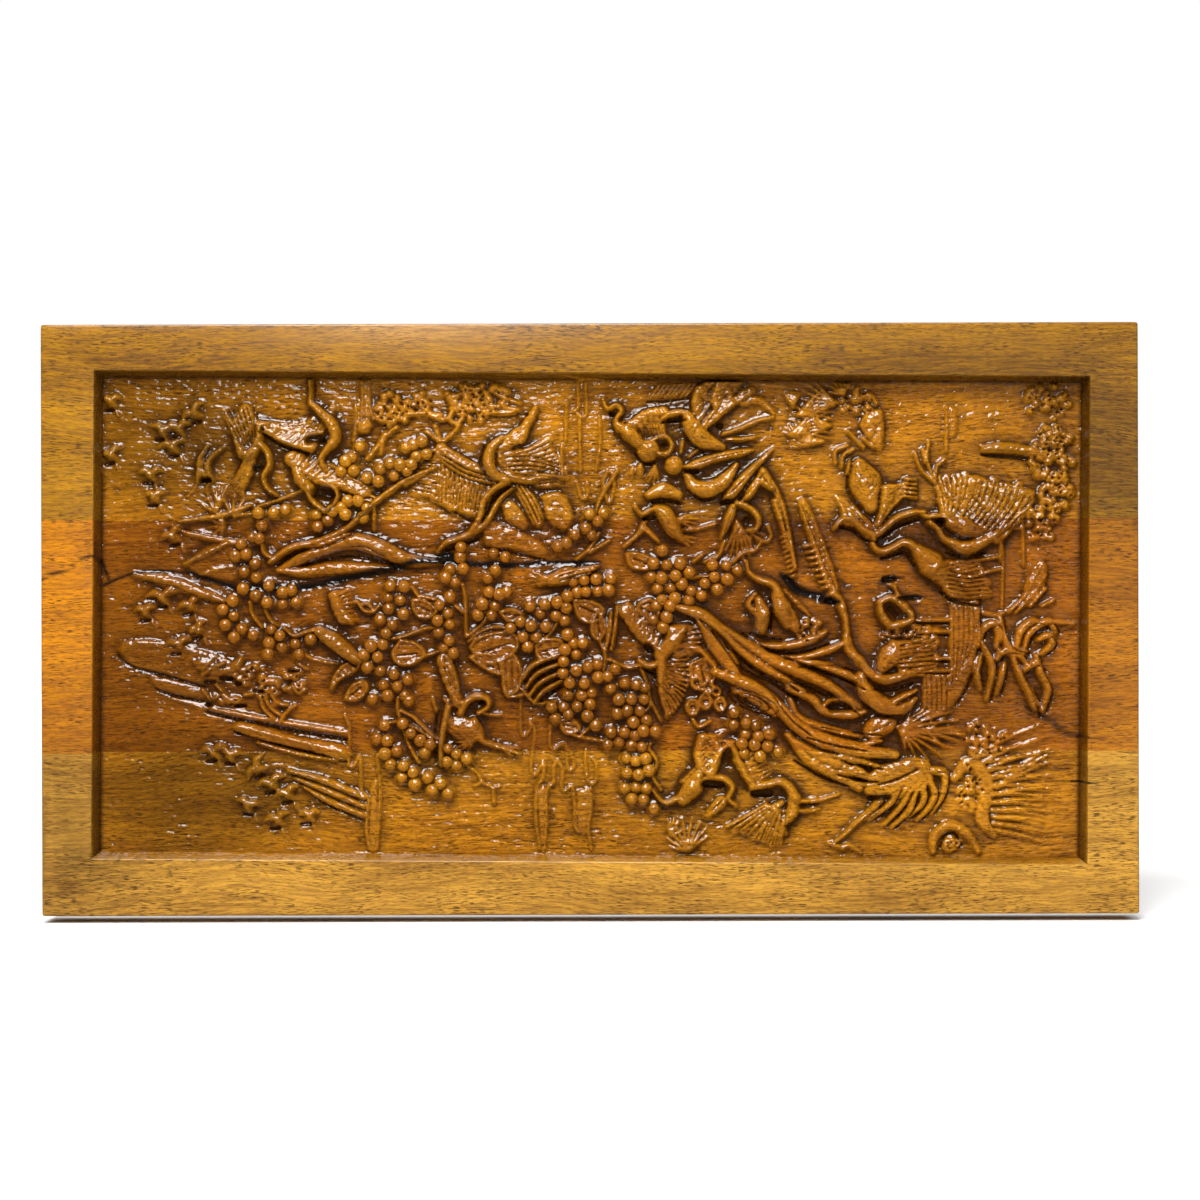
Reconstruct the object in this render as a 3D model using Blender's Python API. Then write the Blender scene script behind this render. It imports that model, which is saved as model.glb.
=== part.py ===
# A carved wooden wall panel: three boards glued edge to edge, a recess sunk into the
# front that leaves a plain border, and on the recess floor a low relief of cranes,
# pine boughs, vines with berries, clouds and rocks.
# Metres, +Z up, the panel's front faces -Y and its flat back lies in the plane y = 0.
# The origin is the centre of the back, where the panel meets the wall.

import math
import random

import bmesh
import bpy
import numpy as np
from mathutils import Vector
from mathutils.bvhtree import BVHTree
from mathutils.geometry import delaunay_2d_cdt

# Boards
PANEL_WIDTH = 0.600
TOP_BOARD_HEIGHT = 0.107
MIDDLE_BOARD_HEIGHT = 0.1275
BOTTOM_BOARD_HEIGHT = 0.089
GLUE_LINE = 0.0003
CORNER_RADIUS = 0.0016
CORNER_STEPS = 3

# Recess: the border left around it, its depth, and the wood left behind it
BORDER_LEFT = 0.0281
BORDER_RIGHT = 0.0273
BORDER_TOP = 0.0273
BORDER_BOTTOM = 0.0291
RECESS_DEPTH = 0.012
FLOOR_THICKNESS = 0.013
WALL_DRAFT = 0.0025
RECESS_TURN = math.radians(0.5)

# Relief: how far its highest point stays below the border, and how it fades at the walls
RELIEF_CLEARANCE = 0.003
RELIEF_FADE = 0.0012

# How closely the flat triangles follow the carving: the volume one may miss, the
# distance a joint's edge may miss, and the most rounds of refining
CARVING_TOLERANCE = 25e-9
PROFILE_TOLERANCE = 0.0012
ROUNDS = 14

# The drawing of the relief is laid out on a sheet of its own small units, with v
# running down. The recess's outline on that sheet:
SHEET_CENTRE = (591.3, 617.4)
SHEET_WIDTH = 995.5
SHEET_HEIGHT = 488.8
SHEET_TURN = math.radians(0.157)
SHEET_STEP = 2.0
PICK_STEP = 3.0
BERRY = 13.0

PANEL_HEIGHT = TOP_BOARD_HEIGHT + MIDDLE_BOARD_HEIGHT + BOTTOM_BOARD_HEIGHT
PANEL_THICKNESS = RECESS_DEPTH + FLOOR_THICKNESS
RECESS_WIDTH = PANEL_WIDTH - BORDER_LEFT - BORDER_RIGHT
RECESS_HEIGHT = PANEL_HEIGHT - BORDER_TOP - BORDER_BOTTOM
RECESS_X = (BORDER_LEFT - BORDER_RIGHT) / 2
RECESS_Z = (BORDER_BOTTOM - BORDER_TOP) / 2
RELIEF_HEIGHT = RECESS_DEPTH - RELIEF_CLEARANCE
LOWER_JOINT = -PANEL_HEIGHT / 2 + BOTTOM_BOARD_HEIGHT
UPPER_JOINT = PANEL_HEIGHT / 2 - TOP_BOARD_HEIGHT

BOARD_COLOURS = {
    "board_top": (0.36, 0.19, 0.06),
    "board_middle": (0.40, 0.17, 0.045),
    "board_bottom": (0.42, 0.22, 0.06),
}


def smooth_path(points, steps=5):
    # A curve through the points, rounded between them.
    if len(points) < 3:
        return [Vector(p) for p in points]
    knots = [Vector(p) for p in points]
    knots = [knots[0] * 2 - knots[1]] + knots + [knots[-1] * 2 - knots[-2]]
    path = []
    for a, b, c, d in zip(knots, knots[1:], knots[2:], knots[3:]):
        for i in range(steps):
            t = i / steps
            path.append(
                0.5 * (2 * b + (c - a) * t + (2 * a - 5 * b + 4 * c - d) * t**2
                       + (3 * b - a - 3 * c + d) * t**3)
            )
    path.append(knots[-2])
    return path


def along(values, count):
    # A single value, or a few spread evenly, read at each of count places.
    if not isinstance(values, tuple):
        return [values] * count
    places = np.linspace(0, len(values) - 1, count)
    return list(np.interp(places, range(len(values)), values))


def heading(degrees, length=1.0):
    # Anticlockwise from the right, as seen on the panel.
    turn = math.radians(degrees)
    return Vector((math.cos(turn), -math.sin(turn))) * length


class Carving:
    # The relief's height over the sheet, as a share of its full height.

    def __init__(self):
        half_width = SHEET_WIDTH / 2
        half_height = SHEET_HEIGHT / 2
        self.left = SHEET_CENTRE[0] - half_width
        self.top = SHEET_CENTRE[1] - half_height
        u = np.arange(self.left, SHEET_CENTRE[0] + half_width, SHEET_STEP)
        v = np.arange(self.top, SHEET_CENTRE[1] + half_height, SHEET_STEP)
        self.u, self.v = np.meshgrid(u, v)
        self.height = np.zeros(self.u.shape)

    def window(self, low, high, margin):
        first_row = max(0, int((low[1] - margin - self.top) / SHEET_STEP))
        last_row = max(0, int((high[1] + margin - self.top) / SHEET_STEP) + 2)
        first_column = max(0, int((low[0] - margin - self.left) / SHEET_STEP))
        last_column = max(0, int((high[0] + margin - self.left) / SHEET_STEP) + 2)
        return slice(first_row, last_row), slice(first_column, last_column)

    def stretch(self, a, b, width_a, width_b, top_a, top_b, foot):
        # One straight piece of a round ridge, with its width and height easing along it.
        low = (min(a[0], b[0]), min(a[1], b[1]))
        high = (max(a[0], b[0]), max(a[1], b[1]))
        part = self.window(low, high, max(width_a, width_b) / 2)
        u = self.u[part] - a[0]
        v = self.v[part] - a[1]
        run = (b[0] - a[0], b[1] - a[1])
        length = max(run[0] ** 2 + run[1] ** 2, 1e-9)
        share = np.clip((u * run[0] + v * run[1]) / length, 0, 1)
        away = np.hypot(u - share * run[0], v - share * run[1])
        radius = (width_a + (width_b - width_a) * share) / 2
        crown = top_a + (top_b - top_a) * share
        rise = foot + (crown - foot) * np.sqrt(np.clip(1 - (away / radius) ** 2, 0, 1))
        rise[away >= radius] = 0
        self.height[part] = np.maximum(self.height[part], rise)

    def ridge(self, points, widths, tops, foot=0.0):
        path = smooth_path(points)
        widths = along(widths, len(path))
        tops = along(tops, len(path))
        for i in range(len(path) - 1):
            self.stretch(path[i], path[i + 1], widths[i], widths[i + 1], tops[i], tops[i + 1], foot)

    def dome(self, centre, width, top, foot=0.0):
        self.stretch(centre, centre, width, width, top, top, foot)

    def plate(self, corners, top, edge=4.0):
        # A flat raised patch whose rim rounds off over the edge width.
        path = smooth_path(list(corners) + [corners[0]])
        us = np.array([p[0] for p in path])
        vs = np.array([p[1] for p in path])
        part = self.window((us.min(), vs.min()), (us.max(), vs.max()), edge)
        u = self.u[part]
        v = self.v[part]
        inside = np.zeros(u.shape, bool)
        away = np.full(u.shape, 1e9)
        for u_a, v_a, u_b, v_b in zip(us, vs, us[1:], vs[1:]):
            crosses = (v_a > v) != (v_b > v)
            inside ^= crosses & (u < (u_b - u_a) * (v - v_a) / (v_b - v_a + 1e-9) + u_a)
            length = max((u_b - u_a) ** 2 + (v_b - v_a) ** 2, 1e-9)
            share = np.clip(((u - u_a) * (u_b - u_a) + (v - v_a) * (v_b - v_a)) / length, 0, 1)
            gap = np.hypot(u - u_a - share * (u_b - u_a), v - v_a - share * (v_b - v_a))
            away = np.minimum(away, gap)
        rim = np.clip(away / edge, 0, 1)
        rise = np.where(inside, top * np.sqrt(rim * (2 - rim)), 0)
        self.height[part] = np.maximum(self.height[part], rise)

    def wing(self, arm, spread, reach, count, top=0.55, width=None, arm_width=7.0):
        # Feathers spring from the arm, shoulder to tip, and turn through the spread.
        roots = smooth_path(arm, 8)
        picks = np.linspace(0, len(roots) - 1, count)
        span = sum((b - a).length for a, b in zip(roots, roots[1:]))
        if width is None:
            mean_reach = (reach[0] + reach[-1]) / 2
            fan = abs(math.radians(spread[-1] - spread[0])) * mean_reach
            width = max(4.0, (span + fan) / count * 1.05)
        turns = along(spread, count)
        reaches = along(reach, count)
        for pick, turn, length in zip(picks, turns, reaches):
            root = roots[int(round(pick))]
            tip = root + heading(turn, length)
            self.ridge((root, tip), (width * 0.7, width), (top, top * 0.62), foot=top * 0.3)
        self.ridge(arm, (arm_width, arm_width * 0.9, arm_width * 0.5), (top * 1.35, top * 1.1))

    def strokes(self, root, turns, lengths, width, top):
        # Needles or fingers that leave one point.
        for turn, length in zip(turns, lengths):
            tip = Vector(root) + heading(turn, length)
            self.ridge((root, tip), (width, width * 0.5), (top, top * 0.6))

    def tuft(self, centre, size, count, grain, top, seed):
        # Nubbly leafage: small domes strewn over an oval.
        place = random.Random(seed)
        for _ in range(count):
            turn = place.uniform(0, math.tau)
            out = math.sqrt(place.random())
            spot = (
                centre[0] + math.cos(turn) * out * size[0] / 2,
                centre[1] + math.sin(turn) * out * size[1] / 2,
            )
            self.dome(spot, grain * place.uniform(0.7, 1.3), top * place.uniform(0.6, 1.0))

    def bunch(self, stem, width, top=0.52, foot=0.1, seed=1):
        # Berries packed in staggered rows along a bunch.
        place = random.Random(seed)
        path = smooth_path(stem, 12)
        walked = 0.0
        row = 0
        due = 0.0
        across = max(1, round(width / BERRY))
        for a, b in zip(path, path[1:]):
            walked += (b - a).length
            if walked < due:
                continue
            due += BERRY * 0.9
            side = Vector((-(b - a).y, (b - a).x)).normalized()
            number = across - (row % 2 if across > 1 else 0)
            for k in range(number):
                shift = (k - (number - 1) / 2) * BERRY * 0.98
                spot = a + side * shift
                spot += Vector((place.uniform(-1, 1), place.uniform(-1, 1))) * BERRY * 0.09
                self.dome(spot, BERRY, top, foot)
            row += 1


def carve_land(c):
    # Low tongues of land and cloud on the left, and the pointed planks there.
    c.plate(((116, 642), (125, 639), (205, 655), (245, 690), (200, 684), (140, 669), (119, 664)), 0.22)
    c.plate(((145, 676), (185, 679), (204, 690), (204, 699), (162, 693), (148, 685)), 0.16)
    c.ridge(((131, 573), (157, 582), (188, 589), (222, 603)), (4, 12, 10, 4), 0.2)
    c.ridge(((204, 712), (250, 722), (330, 738)), 3.0, 0.2)
    c.ridge(((229, 729), (262, 735), (300, 744), (342, 757)), (8, 14, 18, 20), (0.25, 0.38, 0.42, 0.3))
    c.ridge(((255, 743), (290, 752), (322, 762)), 5.0, 0.22)
    for shift in range(3):
        c.ridge(
            ((292, 777 + 6 * shift), (330, 786 + 8 * shift), (362, 800 + 9 * shift)),
            (3, 8, 6),
            0.3,
        )
    c.ridge(((177, 530), (205, 535), (242, 541)), (3, 8, 5), 0.28)
    c.ridge(((184, 566), (205, 553), (226, 544)), (5, 13, 8), 0.3)
    c.plate(((956, 402), (1010, 404), (1040, 440), (985, 452), (950, 450)), 0.1)
    c.ridge(((985, 449), (1010, 446), (1035, 450), (1056, 458)), (4, 7, 8, 6), 0.3)


def carve_small_birds(c):
    # Distant birds on the left: a short curved body with two ragged wings each.
    birds = (
        ((112, 405), -20, 26), ((170, 440), -28, 34), ((198, 410), 40, 30), ((112, 461), -15, 22),
        ((150, 476), 30, 27), ((148, 502), 10, 22), ((164, 600), 20, 26), ((186, 612), 70, 30),
        ((186, 640), 35, 26), ((214, 668), 42, 40), ((268, 690), 10, 46), ((232, 682), -20, 30),
        ((216, 758), 5, 42), ((262, 776), 30, 40), ((254, 700), 0, 30), ((240, 814), 25, 20),
        ((275, 826), 15, 24), ((308, 820), 70, 26),
    )
    for place, turn, span in birds:
        body = Vector(place)
        for side in (-1, 1):
            tip = body + heading(turn + 90 - side * 74, span * 0.52)
            elbow = body + heading(turn + 90 - side * 40, span * 0.30)
            c.ridge((body, elbow, tip), (7, 7, 2), (0.34, 0.34, 0.12))
        tail = body + heading(turn - 90, span * 0.30)
        c.ridge((body, tail), (7, 3), (0.36, 0.15))
    c.ridge(((205, 445), (198, 458), (197, 472), (190, 487)), (3, 6, 7, 3), 0.45)
    c.ridge(((218, 446), (205, 459), (206, 472), (211, 480)), (3, 5, 6, 3), 0.4)


def carve_clouds(c):
    # Trickling cloud edges: thin raised lines that run down and turn round at the end.
    lines = (
        ((358, 380), (358, 402), (355, 410), (354, 436)),
        ((370, 380), (371, 400), (372, 420)),
        ((530, 382), (520, 402), (508, 426)),
        ((570, 381), (570, 405), (580, 415), (580, 494), (585, 498)),
        ((587, 382), (587, 412)),
        ((600, 416), (599, 445), (597, 474)),
        ((612, 474), (614, 492), (610, 502), (606, 494)),
        ((345, 716), (346, 764), (352, 768), (359, 758), (360, 792), (366, 812), (366, 852)),
        ((376, 754), (379, 792), (377, 852)),
        ((521, 698), (522, 732), (527, 734), (531, 722), (534, 730), (532, 772), (541, 769)),
        ((541, 769), (536, 792), (537, 829), (543, 852)),
        ((550, 717), (551, 748), (562, 746), (566, 752), (565, 766)),
        ((554, 852), (554, 790), (556, 764), (562, 758), (566, 790), (571, 792)),
        ((573, 790), (575, 832), (582, 838), (582, 852)),
        ((570, 750), (586, 752), (587, 784), (594, 786), (598, 764), (593, 800), (593, 852)),
        ((951, 407), (949, 455)),
        ((1026, 505), (1028, 543)),
        ((1007, 532), (1007, 612)),
        ((930, 457), (929, 446), (946, 440)),
    )
    for line in lines:
        c.ridge(line, 3.4, 0.2)
    c.plate(((359, 384), (370, 384), (371, 420), (357, 420)), 0.14, 3.0)
    c.plate(((367, 792), (376, 792), (376, 850), (367, 850)), 0.12, 3.0)
    c.plate(((537, 792), (553, 786), (553, 848), (543, 848)), 0.14, 3.0)
    c.plate(((576, 790), (592, 790), (592, 832), (577, 830)), 0.12, 3.0)


def carve_pines(c):
    # Pine crowns, boughs and needles.
    c.tuft((390, 411), (34, 30), 16, 8, 0.42, 3)
    c.tuft((474, 402), (56, 34), 26, 8, 0.42, 4)
    c.ridge(((396, 424), (418, 416), (444, 421)), (4, 6, 3), 0.34)
    c.ridge(((410, 408), (424, 412), (436, 414)), (3, 5, 3), 0.3)
    c.ridge(((470, 410), (492, 411), (514, 411)), (4, 6, 4), 0.38)
    c.ridge(((494, 395), (504, 398), (516, 404)), (4, 5, 3), 0.34)
    c.ridge(((464, 415), (455, 432), (444, 441), (424, 433)), (4, 5, 5, 3), 0.32)
    c.ridge(((386, 428), (378, 446), (366, 456)), (3, 5, 3), 0.28)
    for root, first, last, length in (
        ((800, 440), 20, 160, 26), ((816, 412), 10, 170, 26), ((836, 404), 60, 150, 18),
        ((795, 405), 40, 110, 18), ((820, 432), -20, 60, 20), ((240, 516), 100, 250, 20),
    ):
        turns = along((float(first), float(last)), 7)
        c.strokes(root, turns, [length] * 7, 4, 0.26)
    needle_turns = (62, 45, 30, 16, 2, -12, -24, -36, -50, -66, -88)
    needle_lengths = (20, 30, 42, 54, 62, 64, 58, 54, 48, 36, 26)
    c.strokes((899, 730), needle_turns, needle_lengths, 4.5, 0.42)
    c.tuft((860, 396), (40, 34), 14, 8, 0.3, 5)
    c.tuft((1052, 446), (50, 96), 46, 10, 0.42, 6)
    c.tuft((1044, 520), (34, 44), 16, 10, 0.36, 7)
    c.tuft((986, 742), (40, 38), 16, 8, 0.3, 8)
    c.strokes((692, 852), (150, 132, 112, 92, 70, 50, 30), (26, 34, 36, 34, 34, 28, 22), 4.5, 0.28)
    c.tuft((482, 784), (26, 34), 5, 6, 0.2, 9)
    c.ridge(((470, 764), (480, 780), (494, 796), (496, 812)), 3.0, 0.22)


def carve_rocks(c):
    # Waterfall folds, the feathery ridge below them and the half dome at the border.
    c.ridge(((986, 628), (984, 640), (996, 656), (1000, 676)), (8, 9, 8, 4), 0.32)
    c.ridge(((1006, 620), (1000, 634), (1016, 648), (1034, 650)), (5, 9, 8, 5), 0.36)
    c.ridge(((1018, 652), (1036, 636), (1056, 628), (1060, 640)), (6, 12, 12, 6), 0.4)
    c.ridge(((1046, 640), (1040, 664), (1050, 690), (1056, 708)), (8, 12, 10, 5), 0.34)
    c.ridge(((1022, 660), (1012, 672), (1020, 690), (1030, 704)), (6, 10, 9, 4), 0.32)
    c.ridge(((990, 660), (984, 684), (992, 702)), (6, 7, 3), 0.24)
    c.plate(((1010, 606), (1026, 566), (1050, 548), (1040, 590), (1016, 622)), 0.16)
    c.ridge(((1020, 604), (1030, 580), (1042, 562)), (5, 8, 4), 0.3)
    c.ridge(((968, 768), (974, 796), (982, 820), (996, 838)), (10, 14, 14, 8), 0.28)
    spine = smooth_path(((978, 768), (984, 796), (996, 828)), 7)
    for i, root in enumerate(spine[::2]):
        c.strokes(root, (22 - 6 * i,), (84 - 4 * i,), 5, 0.2)
    c.ridge(((936, 856), (938, 838), (956, 828), (974, 838), (980, 856)), (8, 10, 10, 10, 6), 0.26)
    c.dome((955, 846), 22, 0.24)
    c.plate(((955, 601), (982, 601), (979, 652), (962, 700), (954, 690)), 0.12)


def carve_trunks(c):
    # The twisted bough on the left and the pine trunk that spreads into roots.
    c.ridge(
        ((440, 570), (400, 563), (366, 551), (326, 556), (302, 564), (282, 573), (274, 566)),
        (6, 16, 20, 18, 12, 8, 4),
        (0.3, 0.6, 0.62, 0.55, 0.5, 0.4, 0.3),
    )
    c.ridge(
        ((276, 560), (300, 543), (326, 537), (350, 524), (368, 506), (404, 478)),
        (5, 6, 6, 6, 5, 3),
        (0.35, 0.45, 0.45, 0.4, 0.4, 0.3),
    )
    c.ridge(((340, 546), (364, 544), (386, 553), (406, 562)), 5.0, 0.75)
    c.ridge(((675, 608), (706, 618), (728, 640), (742, 668)), (8, 16, 20, 18), (0.6, 0.85, 0.9, 0.8))
    c.ridge(
        ((706, 668), (722, 676), (760, 686), (786, 706), (806, 732), (846, 760), (900, 758)),
        (8, 22, 24, 26, 30, 24, 10),
        (0.6, 0.95, 0.95, 0.95, 0.9, 0.75, 0.5),
    )
    c.ridge(
        ((728, 634), (756, 654), (794, 664), (836, 690), (866, 716)),
        (14, 18, 18, 14, 8),
        (0.85, 0.8, 0.8, 0.7, 0.5),
    )
    c.ridge(((748, 656), (784, 677), (818, 692), (850, 700)), (10, 14, 10, 5), 0.6)
    c.ridge(((742, 664), (766, 672), (790, 690)), (16, 14, 8), 0.6)
    c.ridge(((780, 710), (800, 740), (828, 762), (856, 768)), (14, 20, 16, 8), 0.6)
    for tip_u, tip_v, bend in (
        (884, 744, -4), (888, 768, 2), (880, 788, 6), (862, 794, 10), (846, 786, 8),
    ):
        start = (832, 756)
        middle = ((start[0] + tip_u) / 2, (start[1] + tip_v) / 2 + bend)
        c.ridge((start, middle, (tip_u, tip_v)), (10, 9, 4), (0.6, 0.5, 0.3))
    for tip_u, tip_v in ((940, 772), (948, 796), (934, 812), (908, 824), (884, 834), (878, 818)):
        start = (886, 802) if tip_u < 920 else (900, 786)
        c.ridge((start, ((start[0] + tip_u) / 2, (start[1] + tip_v) / 2 + 3), (tip_u, tip_v)), (12, 9, 4), 0.4)
    c.plate(((880, 770), (916, 764), (930, 776), (912, 792), (872, 796), (864, 784)), 0.55, 10)
    c.ridge(((868, 808), (858, 824), (838, 844), (834, 848), (852, 854)), (5, 7, 8, 6, 3), 0.32)
    c.ridge(((744, 694), (762, 698), (776, 708), (776, 718), (762, 714)), (5, 6, 6, 5, 4), 0.6)
    c.plate(((868, 730), (878, 718), (900, 720), (896, 735), (864, 743)), 0.6, 8)
    c.ridge(((848, 628), (850, 646), (862, 662), (868, 684)), (6, 8, 9, 8), 0.6)
    c.ridge(((790, 580), (806, 596), (826, 600), (838, 590)), (6, 9, 9, 5), 0.3)
    c.ridge(((800, 632), (782, 648), (800, 652), (826, 640)), (6, 10, 10, 5), 0.5)


def carve_vines(c):
    # Thin stems, tendrils and the few leaves between the berries.
    stems = (
        ((463, 588), (465, 612), (466, 637)), ((466, 637), (484, 622)), ((466, 637), (456, 643)),
        ((404, 637), (416, 631), (436, 628), (450, 630)), ((395, 700), (400, 729), (414, 756), (420, 774)),
        ((400, 712), (416, 724), (432, 738)), ((558, 624), (547, 638), (534, 647)),
        ((567, 732), (587, 740), (606, 744)), ((434, 444), (420, 470), (392, 492), (366, 502)),
        ((602, 660), (622, 672), (640, 690), (652, 712), (660, 726)), ((345, 716), (350, 700), (358, 690)),
        ((644, 752), (648, 768), (654, 784), (660, 790)), ((540, 720), (560, 738), (588, 742), (600, 738)),
        ((245, 605), (252, 618), (262, 630)), ((695, 676), (712, 668), (724, 690), (712, 704)),
        ((706, 606), (716, 590), (740, 580), (760, 556)), ((620, 640), (640, 616), (652, 604)),
    )
    for stem in stems:
        c.ridge(stem, (4, 4, 3), 0.4)
    for leaf in (
        ((404, 641), (420, 652), (403, 665), (392, 656)),
        ((468, 646), (486, 632), (503, 627), (521, 634), (510, 656), (486, 662)),
        ((506, 662), (520, 660), (521, 690), (512, 704), (503, 690)),
        ((575, 598), (596, 598), (600, 610), (588, 624), (574, 616)),
    ):
        c.plate(leaf, 0.4, 6)
    c.ridge(((331, 684), (342, 672), (356, 668)), (10, 12, 6), 0.55)
    c.ridge(((348, 699), (358, 688), (367, 682)), (9, 11, 6), 0.5)
    for shift in range(4):
        c.ridge(
            ((524, 672 + 10 * shift), (536, 662 + 10 * shift), (556, 656 + 10 * shift)),
            (4, 6, 4),
            0.42,
        )
    for u, v in ((700, 690), (714, 700), (690, 704), (702, 712), (724, 704)):
        c.dome((u, v), 13, 0.36)
    c.ridge(((572, 627), (584, 630), (596, 641)), 4.0, 0.4)


def carve_berries(c):
    bunches = (
        (((352, 450), (368, 470), (390, 464), (410, 456), (426, 444)), 27),
        (((314, 517), (330, 516), (347, 504), (366, 512)), 15), (((259, 508), (260, 524), (251, 540)), 12),
        (((244, 554), (243, 573), (246, 594), (268, 602)), 26),
        (((220, 612), (236, 624), (252, 638), (270, 646), (290, 648), (310, 639)), 22),
        (((395, 582), (394, 600), (384, 636)), 26), (((378, 646), (374, 668), (388, 690), (380, 712)), 36),
        (((382, 728), (385, 746), (396, 768), (414, 782), (446, 794)), 26),
        (((420, 742), (440, 752), (466, 762)), 14), (((450, 568), (446, 600), (444, 630), (450, 666)), 22),
        (((494, 573), (493, 595), (484, 618)), 26), (((576, 594), (548, 612), (522, 634)), 34),
        (((566, 622), (570, 648), (573, 682), (576, 718)), 33),
        (((601, 664), (616, 688), (634, 712), (654, 730)), 32),
        (((616, 736), (622, 754), (632, 776), (640, 796), (654, 810)), 27),
        (((664, 562), (668, 584), (676, 606)), 30), (((686, 572), (694, 594)), 26),
        (((716, 562), (718, 590)), 20), (((733, 566), (734, 582)), 12),
        (((736, 718), (750, 732), (766, 746), (780, 754)), 27), (((557, 546), (574, 535), (598, 522)), 16),
        (((450, 554), (474, 556)), 12), (((497, 556), (512, 558)), 12), (((598, 580), (601, 594)), 12),
    )
    for i, (stem, width) in enumerate(bunches):
        c.bunch(stem, width, seed=i)


def carve_cranes_west(c):
    # Two dancing pairs at the upper left.
    c.wing(((246, 454), (230, 438), (219, 410)), (48, 66), (20, 8), 6)
    c.wing(((252, 450), (259, 430), (250, 412)), (125, 112), (20, 8), 6)
    c.ridge(((231, 446), (240, 457), (252, 456), (259, 450)), (6, 13, 12, 7), 0.8)
    c.ridge(((257, 450), (266, 460), (265, 469), (260, 477), (263, 487), (273, 494)), (6, 5, 5, 5, 4, 2), 0.62)
    c.ridge(((246, 462), (240, 474), (235, 494)), (9, 8, 3), 0.5)
    c.wing(((306, 446), (282, 437), (259, 425)), (78, 22), (38, 8), 11)
    c.ridge(
        ((309, 403), (321, 415), (331, 433), (328, 447), (320, 457), (322, 468)),
        (6, 10, 12, 9, 6, 3),
        0.85,
    )
    c.ridge(((303, 448), (305, 438), (313, 431), (324, 434)), 4.5, 0.6)
    c.dome((309, 445), 10, 0.55)
    c.ridge(((308, 374), (308, 388), (309, 404)), 4.0, 0.4)
    c.wing(((308, 490), (294, 474), (291, 457)), (20, -8), (26, 12), 7)
    c.wing(((322, 479), (342, 484), (360, 492)), (100, 60), (18, 6), 6)
    c.ridge(((294, 464), (302, 484), (311, 500)), (6, 12, 8), 0.72)
    c.ridge(((311, 499), (324, 509), (336, 497), (331, 484), (318, 480)), (6, 5, 5, 5, 5), 0.6)
    c.ridge(((283, 626), (290, 633), (303, 633), (316, 630)), (2, 4, 5, 6), 0.5)
    c.ridge(((316, 630), (330, 639), (347, 655), (357, 661)), (8, 18, 12, 4), 0.75)
    c.ridge(((337, 650), (352, 644), (366, 643)), 3.0, 0.3)
    c.ridge(((336, 594), (340, 606), (352, 618)), (6, 14, 6), 0.5)
    c.ridge(((352, 606), (366, 611), (378, 610), (372, 622), (378, 636)), 4.5, 0.45)


def carve_crane_centre(c):
    # The large crane that bends down over the crack, wings thrown wide.
    c.plate(((513, 494), (484, 528), (484, 546), (535, 555), (560, 545), (568, 516), (545, 498)), 0.26, 5)
    c.wing(((494, 478), (466, 465), (438, 447)), (246, 236), (42, 26), 11, 0.42)
    c.wing(((446, 466), (448, 486), (453, 508)), (158, 150), (28, 42), 6, 0.42, arm_width=5)
    c.wing(((499, 445), (507, 437), (514, 432)), (36, 46), (48, 34), 5)
    c.wing(((507, 470), (529, 479), (549, 474), (567, 476)), (66, 12), (28, 8), 9)
    c.wing(((511, 486), (518, 484)), (302, 316), (48, 40), 4, 0.5)
    c.ridge(((503, 439), (493, 449), (492, 461), (499, 472), (510, 479)), (6, 11, 13, 11, 7), 0.92)
    c.ridge(((509, 480), (499, 494), (485, 501), (480, 515), (477, 528)), (6, 6, 6, 6, 7), 0.66)
    c.ridge(
        ((513, 490), (499, 507), (483, 526), (461, 537), (444, 543), (436, 553)),
        (4, 5, 7, 6, 5, 3),
        0.62,
    )
    c.ridge(((598, 569), (580, 572), (562, 580), (555, 588)), (3, 12, 16, 8), 0.55)
    c.strokes((558, 580), (196, 186, 176, 168), (24, 24, 24, 22), 3.5, 0.42)
    c.wing(((457, 706), (450, 690), (443, 664)), (48, 64), (16, 8), 5, 0.45)
    c.ridge(((462, 712), (468, 702), (478, 697), (488, 703), (484, 711), (476, 712)), (6, 6, 7, 7, 6, 5), 0.6)
    c.ridge(((482, 712), (498, 716)), (4, 2), 0.4)
    c.ridge(((452, 722), (464, 731), (474, 738)), (12, 24, 12), 0.55)
    c.ridge(((449, 708), (444, 732), (441, 764)), (8, 10, 6), 0.75)
    c.ridge(((474, 727), (480, 740), (494, 747), (518, 752)), (6, 5, 4, 2), 0.4)


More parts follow.
